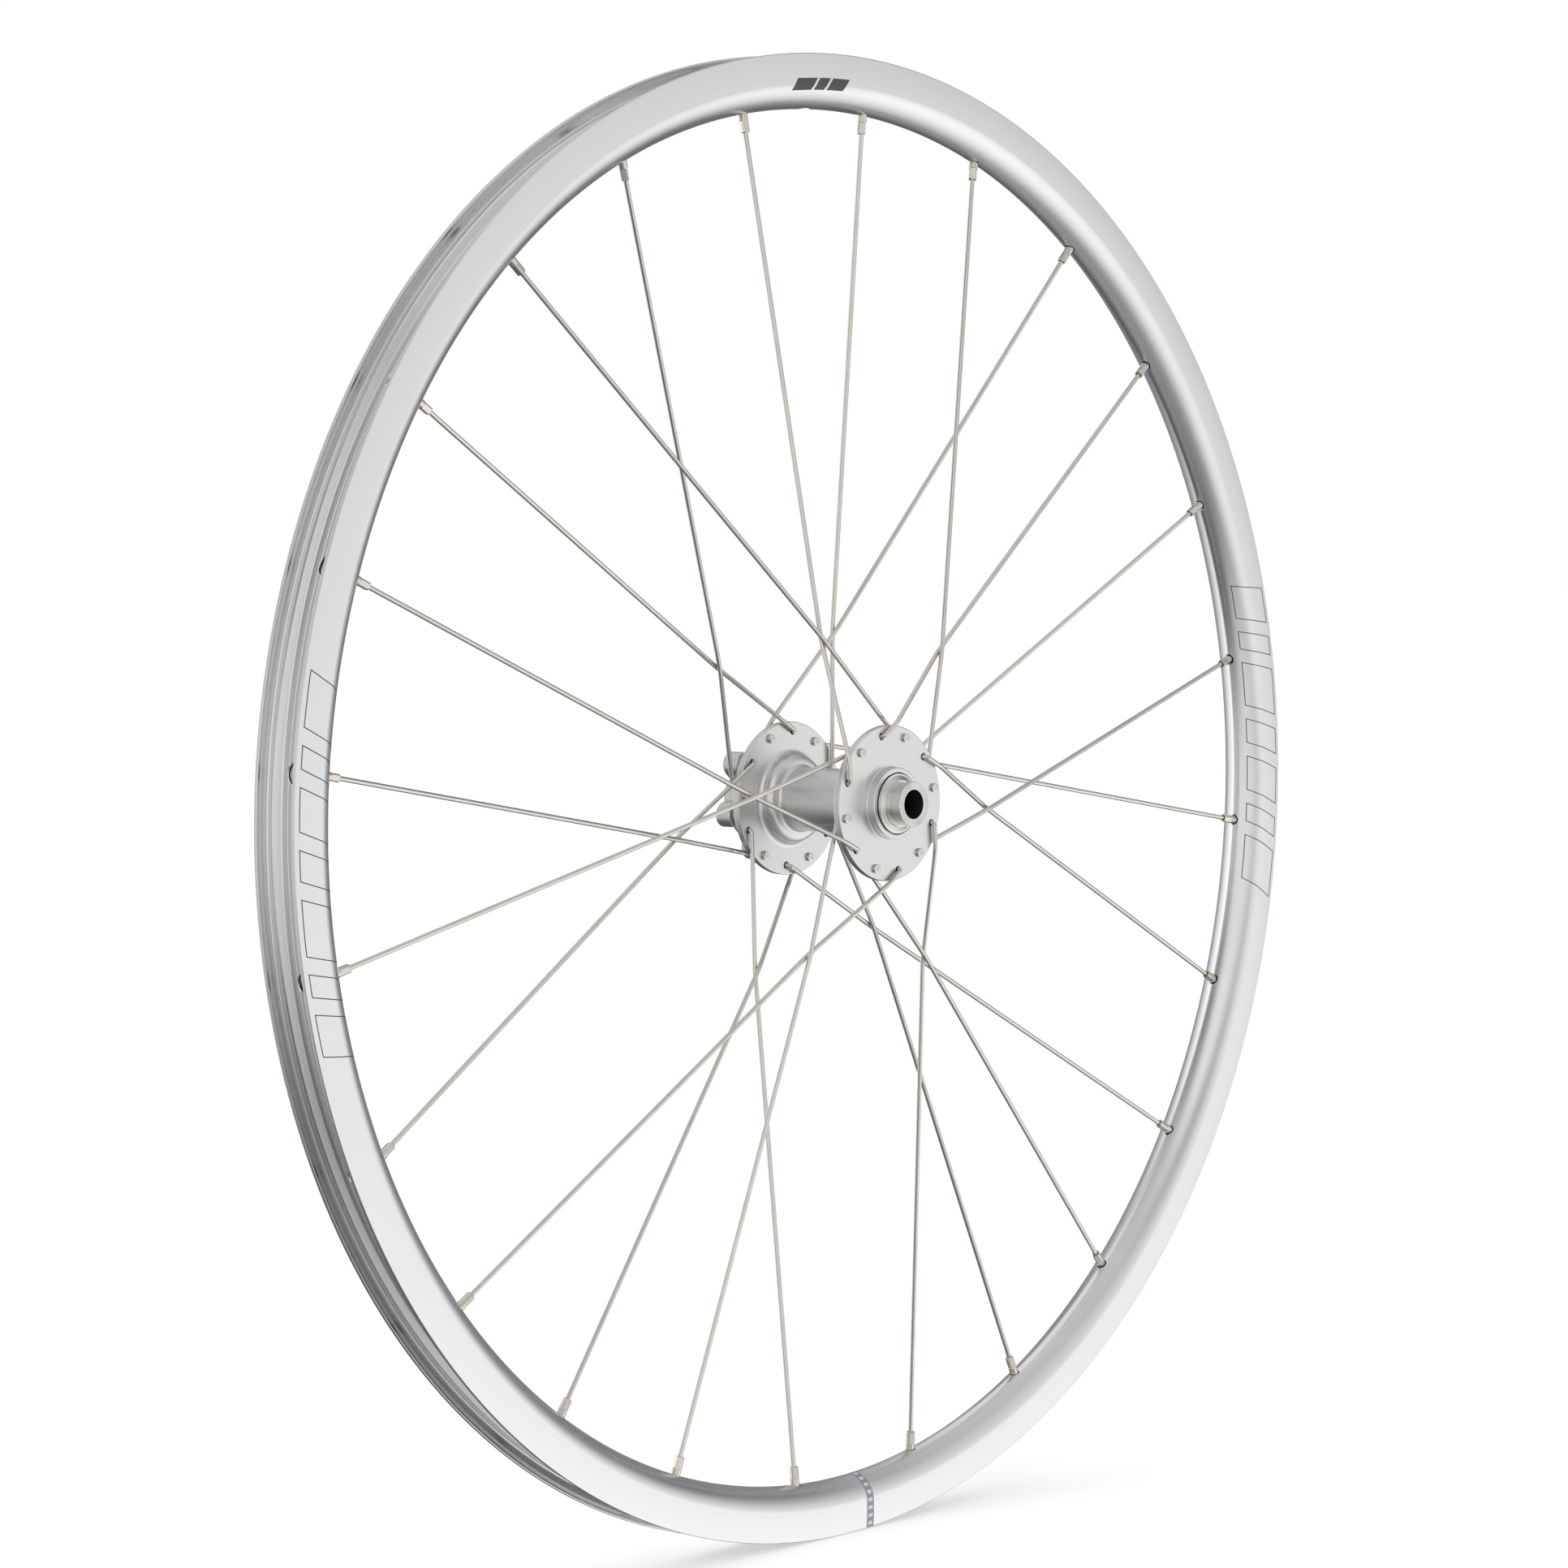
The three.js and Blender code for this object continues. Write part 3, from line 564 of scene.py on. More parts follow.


# The bore layer is near-black painted shade, standing in for the dark inside of a hole.
boreLook = {"grainSize": 0.3 * mm, "grainRough": 0.2, "roughness": 0.6}
inkLook = {"grainSize": 0.12 * mm, "grainRough": 0.25, "roughness": 0.3}
boreShadeBlack = makeLayer("blackenedBore", boreLook, (0.004, 0.004, 0.005), (0.012, 0.012, 0.013))
printInk = makeLayer("etchedOutlineInk", inkLook, (0.035, 0.037, 0.04), (0.075, 0.078, 0.085))
bandGrey = makeLayer("jointBandGrey", inkLook, (0.27, 0.28, 0.30), (0.33, 0.34, 0.36))
tickWhite = makeLayer("jointTickWhite", inkLook, (0.66, 0.68, 0.71), (0.76, 0.78, 0.80))
print("materials built")


lacing = {
    "count": 24, "firstAngle": math.radians(-10.75), "sweep": math.radians(60),
    "holeCircle": 29 * mm, "flangeThickness": 3.2 * mm, "rightFlange": -36.9 * mm,
    "leftFlange": 23.2 * mm, "flangeRadius": 33.15 * mm, "bedOffset": -2.3 * mm,
    "bedDepth": 23.05 * mm, "wireRadius": 1 * mm, "faceGap": 0.5 * mm, "crossingGap": 0.3 * mm,
    "elbow": 1.8 * mm, "exitBend": 25 * mm, "crossingBend": 60 * mm, "headGap": 0.06 * mm,
    "bedWall": 1.9 * mm, "wireReach": 4.9 * mm, "wireStart": 0.5 * mm,
}
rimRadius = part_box("rim")[1].z
bedRadius = rimRadius - lacing["bedDepth"]
flangeFace = {rightSide: lacing["rightFlange"], leftSide: lacing["leftFlange"]}


# Spokes go round in fours: right outside, left inside, right inside, left outside.
def spokePlan(index):
    plan = lacing
    angle = plan["firstAngle"] + index * 2 * math.pi / plan["count"]
    side = rightSide if index % 2 == 0 else leftSide
    outside = index % 4 in (0, 3)
    holeAngle = angle + (-1 if outside else 1) * plan["sweep"]
    standoff = plan["wireRadius"] + plan["faceGap"]
    shaft = flangeFace[side] + side * standoff
    otherShaft = flangeFace[side] - side * (plan["flangeThickness"] + standoff)
    if not outside:
        shaft, otherShaft = otherShaft, shaft
    toElbow = side if outside else -side
    headFace = shaft - toElbow * (standoff + plan["flangeThickness"] + plan["headGap"])

    hole = clockPoint(plan["holeCircle"], holeAngle, 0)
    bed = clockPoint(bedRadius, angle, plan["bedOffset"])
    run = Vector((bed.x - hole.x, 0, bed.z - hole.z))
    length, along = run.length, run.normalized()

    halfStep = 2 * math.pi / plan["count"]
    nearFlange = plan["holeCircle"] * math.sin(plan["sweep"] - halfStep)
    nearRim = bedRadius * math.sin(halfStep)
    share = nearFlange / (nearFlange + nearRim)
    middle = (shaft + otherShaft) / 2
    clearPass = plan["wireRadius"] + plan["crossingGap"] / 2
    crossingY = middle + share * (plan["bedOffset"] - middle)
    crossingY += side * (-clearPass if outside else clearPass)

    clear = plan["flangeRadius"] + plan["wireRadius"] + plan["crossingGap"]
    ahead = hole.dot(along)
    leave = math.sqrt(ahead * ahead + clear * clear - hole.length_squared) - ahead

    def at(distance, y):
        point = hole + along * distance
        return Vector((point.x, y, point.z))

    crossing = at(length * share, crossingY)
    axis = (bed - crossing).normalized()
    route = [
        (at(0, headFace - toElbow * plan["wireStart"]), 0),
        (at(0, shaft), plan["elbow"]),
        (crossing, plan["crossingBend"]),
        (bed + axis * plan["wireReach"], 0),
    ]
    if outside:
        route.insert(2, (at(leave, shaft), plan["exitBend"]))
    return {
        "route": route, "bed": bed, "axis": axis,
        "hole": at(0, flangeFace[side] - side * plan["flangeThickness"] / 2),
        "head": at(0, headFace), "headAxis": Vector((0, -toElbow, 0)),
    }


spokePlans = [spokePlan(index) for index in range(lacing["count"])]


spokeLook = {
    "sides": 16, "bendSteps": 7, "headRadius": 1.95 * mm, "headThickness": 1.2 * mm,
    "headRound": 0.35 * mm, "stampRadius": 0.75 * mm, "stampDepth": 0.18 * mm, "headSides": 28,
    "footShare": 0.45, "roundShare": 0.3, "stampRim": 0.15 * mm, "stampRise": 0.04 * mm,
    "stampWall": 0.12 * mm, "dimple": 0.3 * mm, "dimpleTop": 0.18 * mm, "dimpleShare": 0.3,
    "rollSeed": 11,
}


# A cold-headed spoke end with a shallow stamped ring in its middle.
def spokeHeadPiece():
    look = spokeLook
    top, edge, stamp = look["headThickness"], look["headRound"], look["stampRadius"]
    radius, depth = look["headRadius"], look["stampDepth"]
    foot, soft = look["footShare"] * edge, look["roundShare"] * edge
    rings = [
        (radius - foot, 0), (radius, foot), (radius, top - edge), (radius - soft, top - soft),
        (radius - edge, top), (stamp + look["stampRim"], top + look["stampRise"]),
        (stamp, top), (stamp - look["stampWall"], top - depth), (look["dimple"], top - depth),
        (look["dimpleTop"], top - look["dimpleShare"] * depth),
    ]
    return turnedPiece("spokeHead", rings, look["headSides"])


def makeSpokes():
    vertices, edges, bends = [], [], []
    for plan in spokePlans:
        first = len(vertices)
        for point, bend in plan["route"]:
            vertices.append(point)
            bends.append(bend)
        edges += [(k, k + 1) for k in range(first, len(vertices) - 1)]
    spokes = newPiece("spokes", vertices, edges)
    bendField = spokes.data.attributes.new("bend", "FLOAT", "POINT")
    for k, bend in enumerate(bends):
        bendField.data[k].value = bend
    head = spokeHeadPiece()
    places = placesPiece("headPlaces", [(plan["head"], plan["headAxis"]) for plan in spokePlans])
    addTree(spokes, wireTree, {"Material": spokeSteel}, wireRadius=lacing["wireRadius"],
            sides=spokeLook["sides"], bendSteps=spokeLook["bendSteps"], places=places, copy=head,
            mostRoll=2 * math.pi, rollSeed=spokeLook["rollSeed"])
    makePlain(spokes)
    discard(head, places)
    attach(spokes, wheelBody)
    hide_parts(*[f"spoke_{k + 1:02d}" for k in range(lacing["count"])])


makeSpokes()


nippleLook = {
    "sides": 32, "radius": 1.95 * mm, "flat": 1.65 * mm, "keyLength": 5 * mm,
    "visible": 7.8 * mm, "chamfer": 0.35 * mm, "bore": 1.12 * mm, "boreFlare": 0.25 * mm,
    "headRadius": 2.9 * mm, "headLength": 3 * mm, "seatLength": 0.9 * mm,
    "seatGap": 0.25 * mm, "headRound": 0.3 * mm, "rollSeed": 4, "flatShare": 0.4,
    "flatLead": 0.1 * mm, "collarStart": 0.25 * mm, "collarEnd": 0.35 * mm,
    "sharpAngle": math.radians(24),
}


# A brass nipple: square key, round collar, conical seat and head, bored through.
def nipplePiece():
    look = nippleLook
    low, chamfer, radius, flat = -look["visible"], look["chamfer"], look["radius"], look["flat"]
    shoulder = low + look["keyLength"]
    seat = lacing["bedWall"] + look["seatGap"]
    top = seat + look["headLength"]
    head, edge = look["headRadius"], look["headRound"]
    bore, flare = look["bore"], look["boreFlare"]
    rings = [
        (bore + flare, low), (radius - chamfer, low, flat - look["flatShare"] * chamfer),
        (radius, low + chamfer, flat), (radius, low + chamfer + look["flatLead"], flat),
        (radius, shoulder - look["flatLead"], flat), (radius, shoulder, flat),
        (radius, shoulder + look["collarStart"]), (radius, shoulder + look["collarEnd"]),
        (radius, seat),
        (head, seat + look["seatLength"]), (head, top - edge), (head - edge, top),
        (bore + flare, top), (bore, top - flare), (bore, low + flare),
    ]
    return turnedPiece("nippleShape", rings, look["sides"], closed=True)


def makeNipples():
    shape = nipplePiece()
    shape.data.materials.append(nippleNickel)
    nipples = placesPiece("nipples", [(plan["bed"], plan["axis"]) for plan in spokePlans])
    finish = {"Material": nippleNickel, "Sharp Angle": nippleLook["sharpAngle"]}
    addTree(nipples, copyTree, finish, copy=shape, mostRoll=2 * math.pi,
            rollSeed=nippleLook["rollSeed"])
    makePlain(nipples)
    discard(shape)
    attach(nipples, wheelBody)
    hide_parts(*[f"nipple_{k + 1:02d}" for k in range(lacing["count"])])


makeNipples()
print("spokes and nipples done")


rimLook = {
    "steps": 288, "lipHeight": 5.75 * mm, "lipWidth": 2 * mm, "lipRound": 0.45 * mm,
    "hookReach": 0.45 * mm, "hookTop": 0.9 * mm, "hookEnd": 2.6 * mm, "seatRound": 0.9 * mm,
    "seatFall": 0.3 * mm, "shelf": 2.8 * mm, "humpHeight": 0.3 * mm, "humpRound": 0.4 * mm,
    "flank": 2.4 * mm, "wellDepth": 3 * mm, "wellRound": 0.9 * mm,
    "ridgeHeight": 0.22 * mm, "ridgeHalf": 0.3 * mm, "ridges": (0, 1.9 * mm),
    "rightWall": 13.2 * mm, "leftWall": 9.2 * mm, "rightFullness": 1.7, "leftFullness": 1.35,
    "noseSteps": 26, "crown": 0.8 * mm, "crownSteps": 6,
    "wall": 1.4 * mm, "bedWall": 1.9 * mm, "tyreBedWall": 1.1 * mm,
    "nippleHole": 2.35 * mm, "holeFlare": 0.3 * mm, "accessHole": 4.5 * mm,
    "accessFlare": 0.25 * mm, "valveHole": 4.25 * mm, "valveFlare": 0.4 * mm,
    "seamWidth": 0.16 * mm, "holeSides": 32, "hookFace": 0.4 * mm, "hookRound": 0.3 * mm,
    "hookFoot": 0.5 * mm, "humpStart": 0.9 * mm, "humpStartRound": 0.5 * mm,
    "humpMiddle": 0.2 * mm, "humpEnd": 0.5 * mm, "humpEndRound": 0.3 * mm,
    "middleRidgeTop": 0.4, "ridgeTop": 0.3, "drillClear": 1 * mm, "drillReach": 2.6,
    "accessClear": 0.6 * mm, "seamClear": 2 * mm, "slimBevel": 0.001 * mm,
}
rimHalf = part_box("rim")[1].y
seatRadius = rimRadius - rimLook["lipHeight"]
wellRadius = seatRadius - rimLook["wellDepth"]
valveAngle = lacing["firstAngle"] + math.pi / lacing["count"]
jointAngle = valveAngle + math.pi


# One side of the nose, from the foot of its sidewall to the spoke bed.
def noseSide(side, wallHeight, fullness):
    top = rimRadius - wallHeight
    depth = top - bedRadius
    reach = abs(side * rimHalf - lacing["bedOffset"])
    points = []
    for i in range(rimLook["noseSteps"] + 1):
        turn = math.pi / 2 * i / rimLook["noseSteps"]
        across = abs(math.cos(turn)) ** (2 / fullness)
        down = math.sin(turn) ** (2 / fullness)
        points.append((top - depth * down, lacing["bedOffset"] + side * reach * across))
    return points


# One sidewall, slightly crowned, between its lip and its foot.
def wallPoints(side, wallHeight):
    steps = rimLook["crownSteps"]
    points = []
    for k in range(1, steps):
        left = 1 - k / steps
        points.append((rimRadius - wallHeight * k / steps,
                       side * (rimHalf - rimLook["crown"] * left * left)))
    return points


# The tyre channel on one side, from the lip's outer corner to the middle of the well.
def tyreSide(side):
    look = rimLook
    inner = rimHalf - look["lipWidth"]
    shelfEdge = inner - look["shelf"]
    well = shelfEdge - look["flank"]
    hook = inner - look["hookReach"]
    shelf = seatRadius - look["seatFall"]
    corners = [
        (rimRadius, rimHalf - look["crown"], look["lipRound"]),
        (rimRadius, hook, look["lipRound"]),
        (rimRadius - look["hookTop"] - look["hookFace"], hook, look["hookRound"]),
        (rimRadius - look["hookEnd"], inner, look["hookFoot"]),
        (seatRadius, inner, look["seatRound"]),
        (shelf, shelfEdge + look["humpStart"], look["humpStartRound"]),
        (shelf + look["humpHeight"], shelfEdge + look["humpMiddle"], look["humpRound"]),
        (shelf, shelfEdge - look["humpEnd"], look["humpEndRound"]),
        (wellRadius, well, look["wellRound"]),
    ]
    ridge = wellRadius + look["ridgeHeight"]
    for middle in reversed(look["ridges"]):
        if middle == 0:
            corners.append((wellRadius, look["ridgeHalf"]))
            corners.append((ridge, look["middleRidgeTop"] * look["ridgeHalf"]))
            continue
        corners += [
            (wellRadius, middle + look["ridgeHalf"]),
            (ridge, middle + look["ridgeTop"] * look["ridgeHalf"]),
            (ridge, middle - look["ridgeTop"] * look["ridgeHalf"]),
            (wellRadius, middle - look["ridgeHalf"]),
        ]
    return flipped(corners, side)


def rimOutline():
    look = rimLook
    right = wallPoints(rightSide, look["rightWall"])
    right += noseSide(rightSide, look["rightWall"], look["rightFullness"])
    left = wallPoints(leftSide, look["leftWall"])
    left += noseSide(leftSide, look["leftWall"], look["leftFullness"])
    left.reverse()
    channel = tyreSide(leftSide) + tyreSide(rightSide)[::-1]
    return softOutline(channel + right + left[1:])


hollowLook = {
    "headRoom": 0.2 * mm, "floorRound": 0.4 * mm, "rightFootRound": 2 * mm,
    "rightEavesRound": 1 * mm, "ceilingRound": 0.8 * mm, "leftEavesRound": 0.6 * mm,
    "leftFootDrop": 0.8 * mm, "leftFootRound": 0.5 * mm,
}


# The hollow between the spoke bed and the tyre bed, made smaller all round by a gap.
def rimHollow(gap):
    look, soft = rimLook, hollowLook
    side = rimHalf - look["wall"] - gap
    inner = rimHalf - look["lipWidth"]
    well = inner - look["shelf"] - look["flank"]
    ceiling = wellRadius - look["tyreBedWall"] - gap
    eaves = seatRadius - look["wall"] - gap
    floor = bedRadius + look["bedWall"] + gap
    shelf = nippleLook["headRadius"] + soft["headRoom"] - gap
    rightFoot = rimRadius - look["rightWall"] + gap
    leftFoot = rimRadius - look["leftWall"] + gap
    offset = lacing["bedOffset"]
    return softOutline([
        (floor, offset - shelf, soft["floorRound"]),
        (rightFoot, -side, soft["rightFootRound"]), (eaves, -side, soft["rightEavesRound"]),
        (ceiling, -well, soft["ceilingRound"]), (ceiling, well, soft["ceilingRound"]),
        (eaves, side, soft["leftEavesRound"]),
        (min(leftFoot, eaves - soft["leftFootDrop"]), side, soft["leftFootRound"]),
        (floor, offset + shelf, soft["floorRound"]),
    ])


# A drill with a countersink that opens towards +Z from the surface at z = 0.
def drillPiece(name, radius, flare, below, above):
    rings = [(radius, -below), (radius, -flare), (radius + flare + above, above)]
    return turnedPiece(name, rings, rimLook["holeSides"])


# Lifts a shape to a height above the axle, at a place along Y.
def standUpright(piece, height, y):
    piece.data.transform(Matrix.Translation((0, y, height)))
    return piece


# A plain block right across the rim, at the top of the wheel, almost without a bevel.
def blockPiece(name, half, low, high):
    corners = ((-half, low), (half, low), (half, high), (-half, high))
    return platePiece(name, [Vector(corner) for corner in corners], -2 * rimHalf, 2 * rimHalf,
                      rimLook["slimBevel"])


def makeRim():
    look = rimLook
    rim = outlinePiece("rimShell", rimRadius, rimOutline(), [rimHollow(0)])
    clear = look["drillClear"]
    nippleDrill = turnedPiece("nippleDrill", [
        (look["nippleHole"] + look["holeFlare"] + clear, -clear),
        (look["nippleHole"], look["holeFlare"]),
        (look["nippleHole"], look["drillReach"] * look["bedWall"]),
    ], look["holeSides"])
    accessDrill = standUpright(drillPiece(
        "accessDrill", look["accessHole"], look["accessFlare"], look["tyreBedWall"] + clear,
        look["accessClear"]), wellRadius, lacing["bedOffset"])
    valveDrill = standUpright(turnedPiece("valveDrill", [
        (look["valveHole"] + look["valveFlare"], bedRadius - look["valveFlare"]),
        (look["valveHole"], bedRadius + look["valveFlare"]),
        (look["valveHole"], rimRadius),
    ], look["holeSides"]), 0, 0)
    seam = blockPiece("seamSlit", look["seamWidth"] / 2, bedRadius - look["seamClear"],
                      rimRadius + look["seamClear"])
    places = placesPiece("nippleHoles", [(plan["bed"], plan["axis"]) for plan in spokePlans])

    finish = {"Material": rimSilver}
    count, first = lacing["count"], lacing["firstAngle"]
    addTree(rim, turnTree, finish, guideRadius=rimRadius, steps=look["steps"])
    addTree(rim, placedCutTree, finish, places=places, copy=nippleDrill)
    addTree(rim, ringCutTree, finish, copy=accessDrill, count=count, firstAngle=first)
    addTree(rim, ringCutTree, finish, copy=valveDrill, count=1, firstAngle=valveAngle)
    addTree(rim, ringCutTree, finish, copy=seam, count=1, firstAngle=jointAngle)
    makePlain(rim)
    discard(nippleDrill, accessDrill, valveDrill, seam, places)
    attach(rim, wheelBody)
    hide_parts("rim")


makeRim()
print("rim done")


sleeveLook = {"length": 44 * mm, "wall": 3 * mm, "gap": 0.25 * mm, "blockDepth": 10 * mm}


# The sleeve that bridges the rim's joint, inside the hollow.
def makeJointSleeve():
    look = sleeveLook
    sleeve = outlinePiece("rimJointSleeve", rimRadius, rimHollow(look["gap"]),
                          [rimHollow(look["gap"] + look["wall"])])
    keep = blockPiece("sleeveBlock", look["length"] / 2, bedRadius - look["blockDepth"], rimRadius)
    finish = {"Material": rimSilver}
    addTree(sleeve, turnTree, finish, guideRadius=rimRadius, steps=rimLook["steps"])
    addTree(sleeve, ringKeepTree, finish, copy=keep, count=1, firstAngle=jointAngle)
    makePlain(sleeve)
    discard(keep)
    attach(sleeve, wheelBody)
    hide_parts("rim_joint_sleeve")


makeJointSleeve()


hubLook = {
    "steps": 160, "guide": 25 * mm, "seatBore": 13.25 * mm, "bore": 12 * mm,
    "bearingStop": 34.75 * mm, "boss": 15.25 * mm, "bossRound": 0.45 * mm,
    "bossRoot": 0.5 * mm, "barrel": 13.7 * mm, "flangeEdge": 0.5 * mm, "rootRound": 1.3 * mm,
    "shoulder": 19.1 * mm, "shoulderLength": 6.2 * mm, "shoulderRound": 3.4 * mm,
    "shoulderFillet": 1.7 * mm, "shoulderRoot": 2.4 * mm, "neck": 19.5 * mm,
    "neckRoot": 0.8 * mm, "pilot": 17 * mm, "rotorFace": 39.5 * mm, "edge": 0.3 * mm,
    "lobes": 6, "lobeAngle": math.radians(12), "boltCircle": 22 * mm, "lobeRadius": 5.4 * mm,
    "lobeThickness": 8 * mm, "lobeSteps": 14, "boltHole": 2.2 * mm, "boltFlare": 0.5 * mm,
    "spokeHole": 1.35 * mm, "spokeFlare": 0.42 * mm, "holeSides": 28, "drillClear": 1 * mm,
    "seatEdge": 0.15 * mm, "pilotRoot": 0.1 * mm,
}
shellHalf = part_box("hub_shell")[1].y
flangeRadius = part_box("hub_shell")[1].z


def hubOutline():
    look = hubLook
    right, left = lacing["rightFlange"], lacing["leftFlange"]
    rightInner = right + lacing["flangeThickness"]
    leftInner = left - lacing["flangeThickness"]
    front = leftInner - look["shoulderLength"]
    edge = look["flangeEdge"]
    return softOutline([
        (look["seatBore"], -shellHalf, look["seatEdge"]),
        (look["boss"], -shellHalf, look["bossRound"]),
        (look["boss"], right, look["bossRoot"]),
        (flangeRadius, right, edge), (flangeRadius, rightInner, edge),
        (look["barrel"], rightInner, look["rootRound"]),
        (look["barrel"], front, look["shoulderFillet"]),
        (look["shoulder"], front, look["shoulderRound"]),
        (look["shoulder"], leftInner, look["shoulderRoot"]),
        (flangeRadius, leftInner, edge), (flangeRadius, left, edge),
        (look["neck"], left, look["neckRoot"]),
        (look["neck"], look["rotorFace"], look["edge"]),
        (look["pilot"], look["rotorFace"], look["pilotRoot"]),
        (look["pilot"], shellHalf, look["edge"]), (look["seatBore"], shellHalf, look["seatEdge"]),
        (look["seatBore"], look["bearingStop"]), (look["bore"], look["bearingStop"]),
        (look["bore"], -look["bearingStop"]), (look["seatBore"], -look["bearingStop"]),
    ])


# One of the six ears that the brake rotor bolts to, at the top of the wheel.
def lobePiece():
    look = hubLook
    half = look["lobeRadius"]
    root = (look["pilot"] + look["neck"]) / 2
    points = [Vector((-half, root)), Vector((half, root))]
    for k in range(look["lobeSteps"] + 1):
        turn = math.pi * k / look["lobeSteps"]
        points.append(Vector((half * math.cos(turn), look["boltCircle"] + half * math.sin(turn))))
    face = look["rotorFace"]
    return platePiece("rotorLobe", points, face - look["lobeThickness"], face, look["edge"])


# A drill along Y, with a countersink at both ends.
def drillAlongY(name, radius, flare, low, high, height):
    clear = hubLook["drillClear"]
    spread = radius + flare + clear
    drill = turnedPiece(name, [
        (spread, low - clear), (radius, low + flare), (radius, high - flare),
        (spread, high + clear)], hubLook["holeSides"])
    drill.data.transform(Matrix.Rotation(-math.pi / 2, 4, "X"))
    drill.data.transform(Matrix.Translation((0, 0, height)))
    return drill


def makeHubShell():
    look = hubLook
    shell = outlinePiece("hubShell", look["guide"], hubOutline())
    lobe = lobePiece()
    bolt = drillAlongY("boltDrill", look["boltHole"], look["boltFlare"],
                       look["rotorFace"] - look["lobeThickness"], look["rotorFace"],
                       look["boltCircle"])
    half = lacing["flangeThickness"] / 2
    spokeDrill = drillAlongY("spokeDrill", look["spokeHole"], look["spokeFlare"], -half, half, 0)
    spokeDrill.data.transform(Matrix.Rotation(math.pi / 2, 4, "X"))
    places = placesPiece("flangeHoles", [(plan["hole"], Vector((0, 1, 0))) for plan in spokePlans])
    finish = {"Material": hubSilver}
    addTree(shell, turnTree, finish, guideRadius=look["guide"], steps=look["steps"])
    addTree(shell, ringJoinTree, finish, copy=lobe, count=look["lobes"],
            firstAngle=look["lobeAngle"])
    addTree(shell, ringCutTree, finish, copy=bolt, count=look["lobes"],
            firstAngle=look["lobeAngle"])
    addTree(shell, placedCutTree, finish, places=places, copy=spokeDrill)
    makePlain(shell)
    discard(lobe, bolt, spokeDrill, places)
    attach(shell, wheelBody)
    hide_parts("hub_shell")


makeHubShell()
print("hub shell done")


capLook = {
    "steps": 216, "guide": 9 * mm, "bore": 6.05 * mm, "face": 9.5 * mm, "chamfer": 0.3 * mm,
    "collarLength": 3.5 * mm, "neck": 8.9 * mm, "neckRound": 0.3 * mm,
    "stepRadius": 10.1 * mm, "stepTop": 43.2 * mm, "coneTop": 42.75 * mm,
    "dishRadius": 11.9 * mm, "shield": 12.75 * mm, "shieldTop": 41.5 * mm,
    "shieldThickness": 0.7 * mm, "foot": 9.9 * mm, "footY": 40.25 * mm, "spigot": 7.05 * mm,
    "spigotEnd": 31.25 * mm, "teeth": 54, "toothDepth": 0.28 * mm, "toothInner": 6.75 * mm,
    "toothShare": 0.882, "toothPast": 0.5 * mm, "toothClear": 0.3 * mm,
    "boreMargin": 0.2 * mm, "roundSteps": 4, "boreRound": 0.35 * mm, "collarRound": 0.2 * mm,
    "collarRoot": 0.15 * mm, "stepRound": 0.25 * mm, "stepTaper": 0.1 * mm,
    "coneRound": 0.3 * mm, "dishRound": 0.8 * mm, "shieldRound": 0.15 * mm,
    "spigotRound": 0.2 * mm,
}
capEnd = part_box("left_end_cap")[1].y


def capOutline(side):
    look = capLook
    collar = capEnd - look["collarLength"]
    shieldBack = look["shieldTop"] - look["shieldThickness"]
    corners = [
        (look["bore"], capEnd, look["boreRound"]), (look["face"], capEnd, look["chamfer"]),
        (look["face"], collar, look["collarRound"]), (look["neck"], collar, look["collarRoot"]),
        (look["neck"], look["stepTop"], look["neckRound"]),
        (look["stepRadius"], look["stepTop"], look["stepRound"]),
        (look["stepRadius"] + look["stepTaper"], look["coneTop"], look["coneRound"]),
        (look["dishRadius"], look["shieldTop"], look["dishRound"]),
        (look["shield"], look["shieldTop"], look["shieldRound"]),
        (look["shield"], shieldBack, look["shieldRound"]),
        (look["foot"], shieldBack), (look["foot"], look["footY"]),
        (look["spigot"], look["footY"]),
        (look["spigot"], look["spigotEnd"], look["spigotRound"]),
        (look["bore"], look["spigotEnd"], look["spigotRound"]),
    ]
    return softOutline(flipped(corners, side), look["roundSteps"])


# A wedge that cuts one groove of the clamping face. Its share of the pitch is at the clear height.
def toothPiece(side):
    look = capLook
    halfTurn = math.pi / look["teeth"] * look["toothShare"]
    inner, outer = look["toothInner"], look["face"] + look["toothPast"]
    deep, clear = side * (capEnd - look["toothDepth"]), side * (capEnd + look["toothClear"])
    vertices, faces = [], [(0, 1, 2), (5, 4, 3), (0, 3, 4, 1), (1, 4, 5, 2), (2, 5, 3, 0)]
    for radius in (inner, outer):
        width = radius * halfTurn
        vertices += [(-width, clear, radius), (0, deep, radius), (width, clear, radius)]
    if side > 0:
        faces = [face[::-1] for face in faces]
    return newPiece("tooth", vertices, [], faces)


def makeEndCap(name, node, side):
    look = capLook
    cap = outlinePiece(name, look["guide"], capOutline(side))
    tooth = toothPiece(side)
    # Faces inside the bore get near-black painted shade.
    finish = {"Material": capSilver, "Bore Material": boreShadeBlack,
              "Bore Radius": look["bore"] + look["boreMargin"]}
    addTree(cap, turnTree, finish, guideRadius=look["guide"], steps=look["steps"])
    addTree(cap, ringCutTree, finish, copy=tooth, count=look["teeth"])
    makePlain(cap)
    discard(tooth)
    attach(cap, axleBody)
    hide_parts(node)


makeEndCap("rightEndCap", "right_end_cap", rightSide)
makeEndCap("leftEndCap", "left_end_cap", leftSide)


axleLook = {
    "steps": 96, "guide": 8 * mm, "journal": 8.25 * mm, "shoulder": 9.2 * mm, "bore": 7.3 * mm,
    "stop": 34.75 * mm, "boreRound": 0.15 * mm, "endRound": 0.3 * mm, "shoulderRound": 0.25 * mm,
}


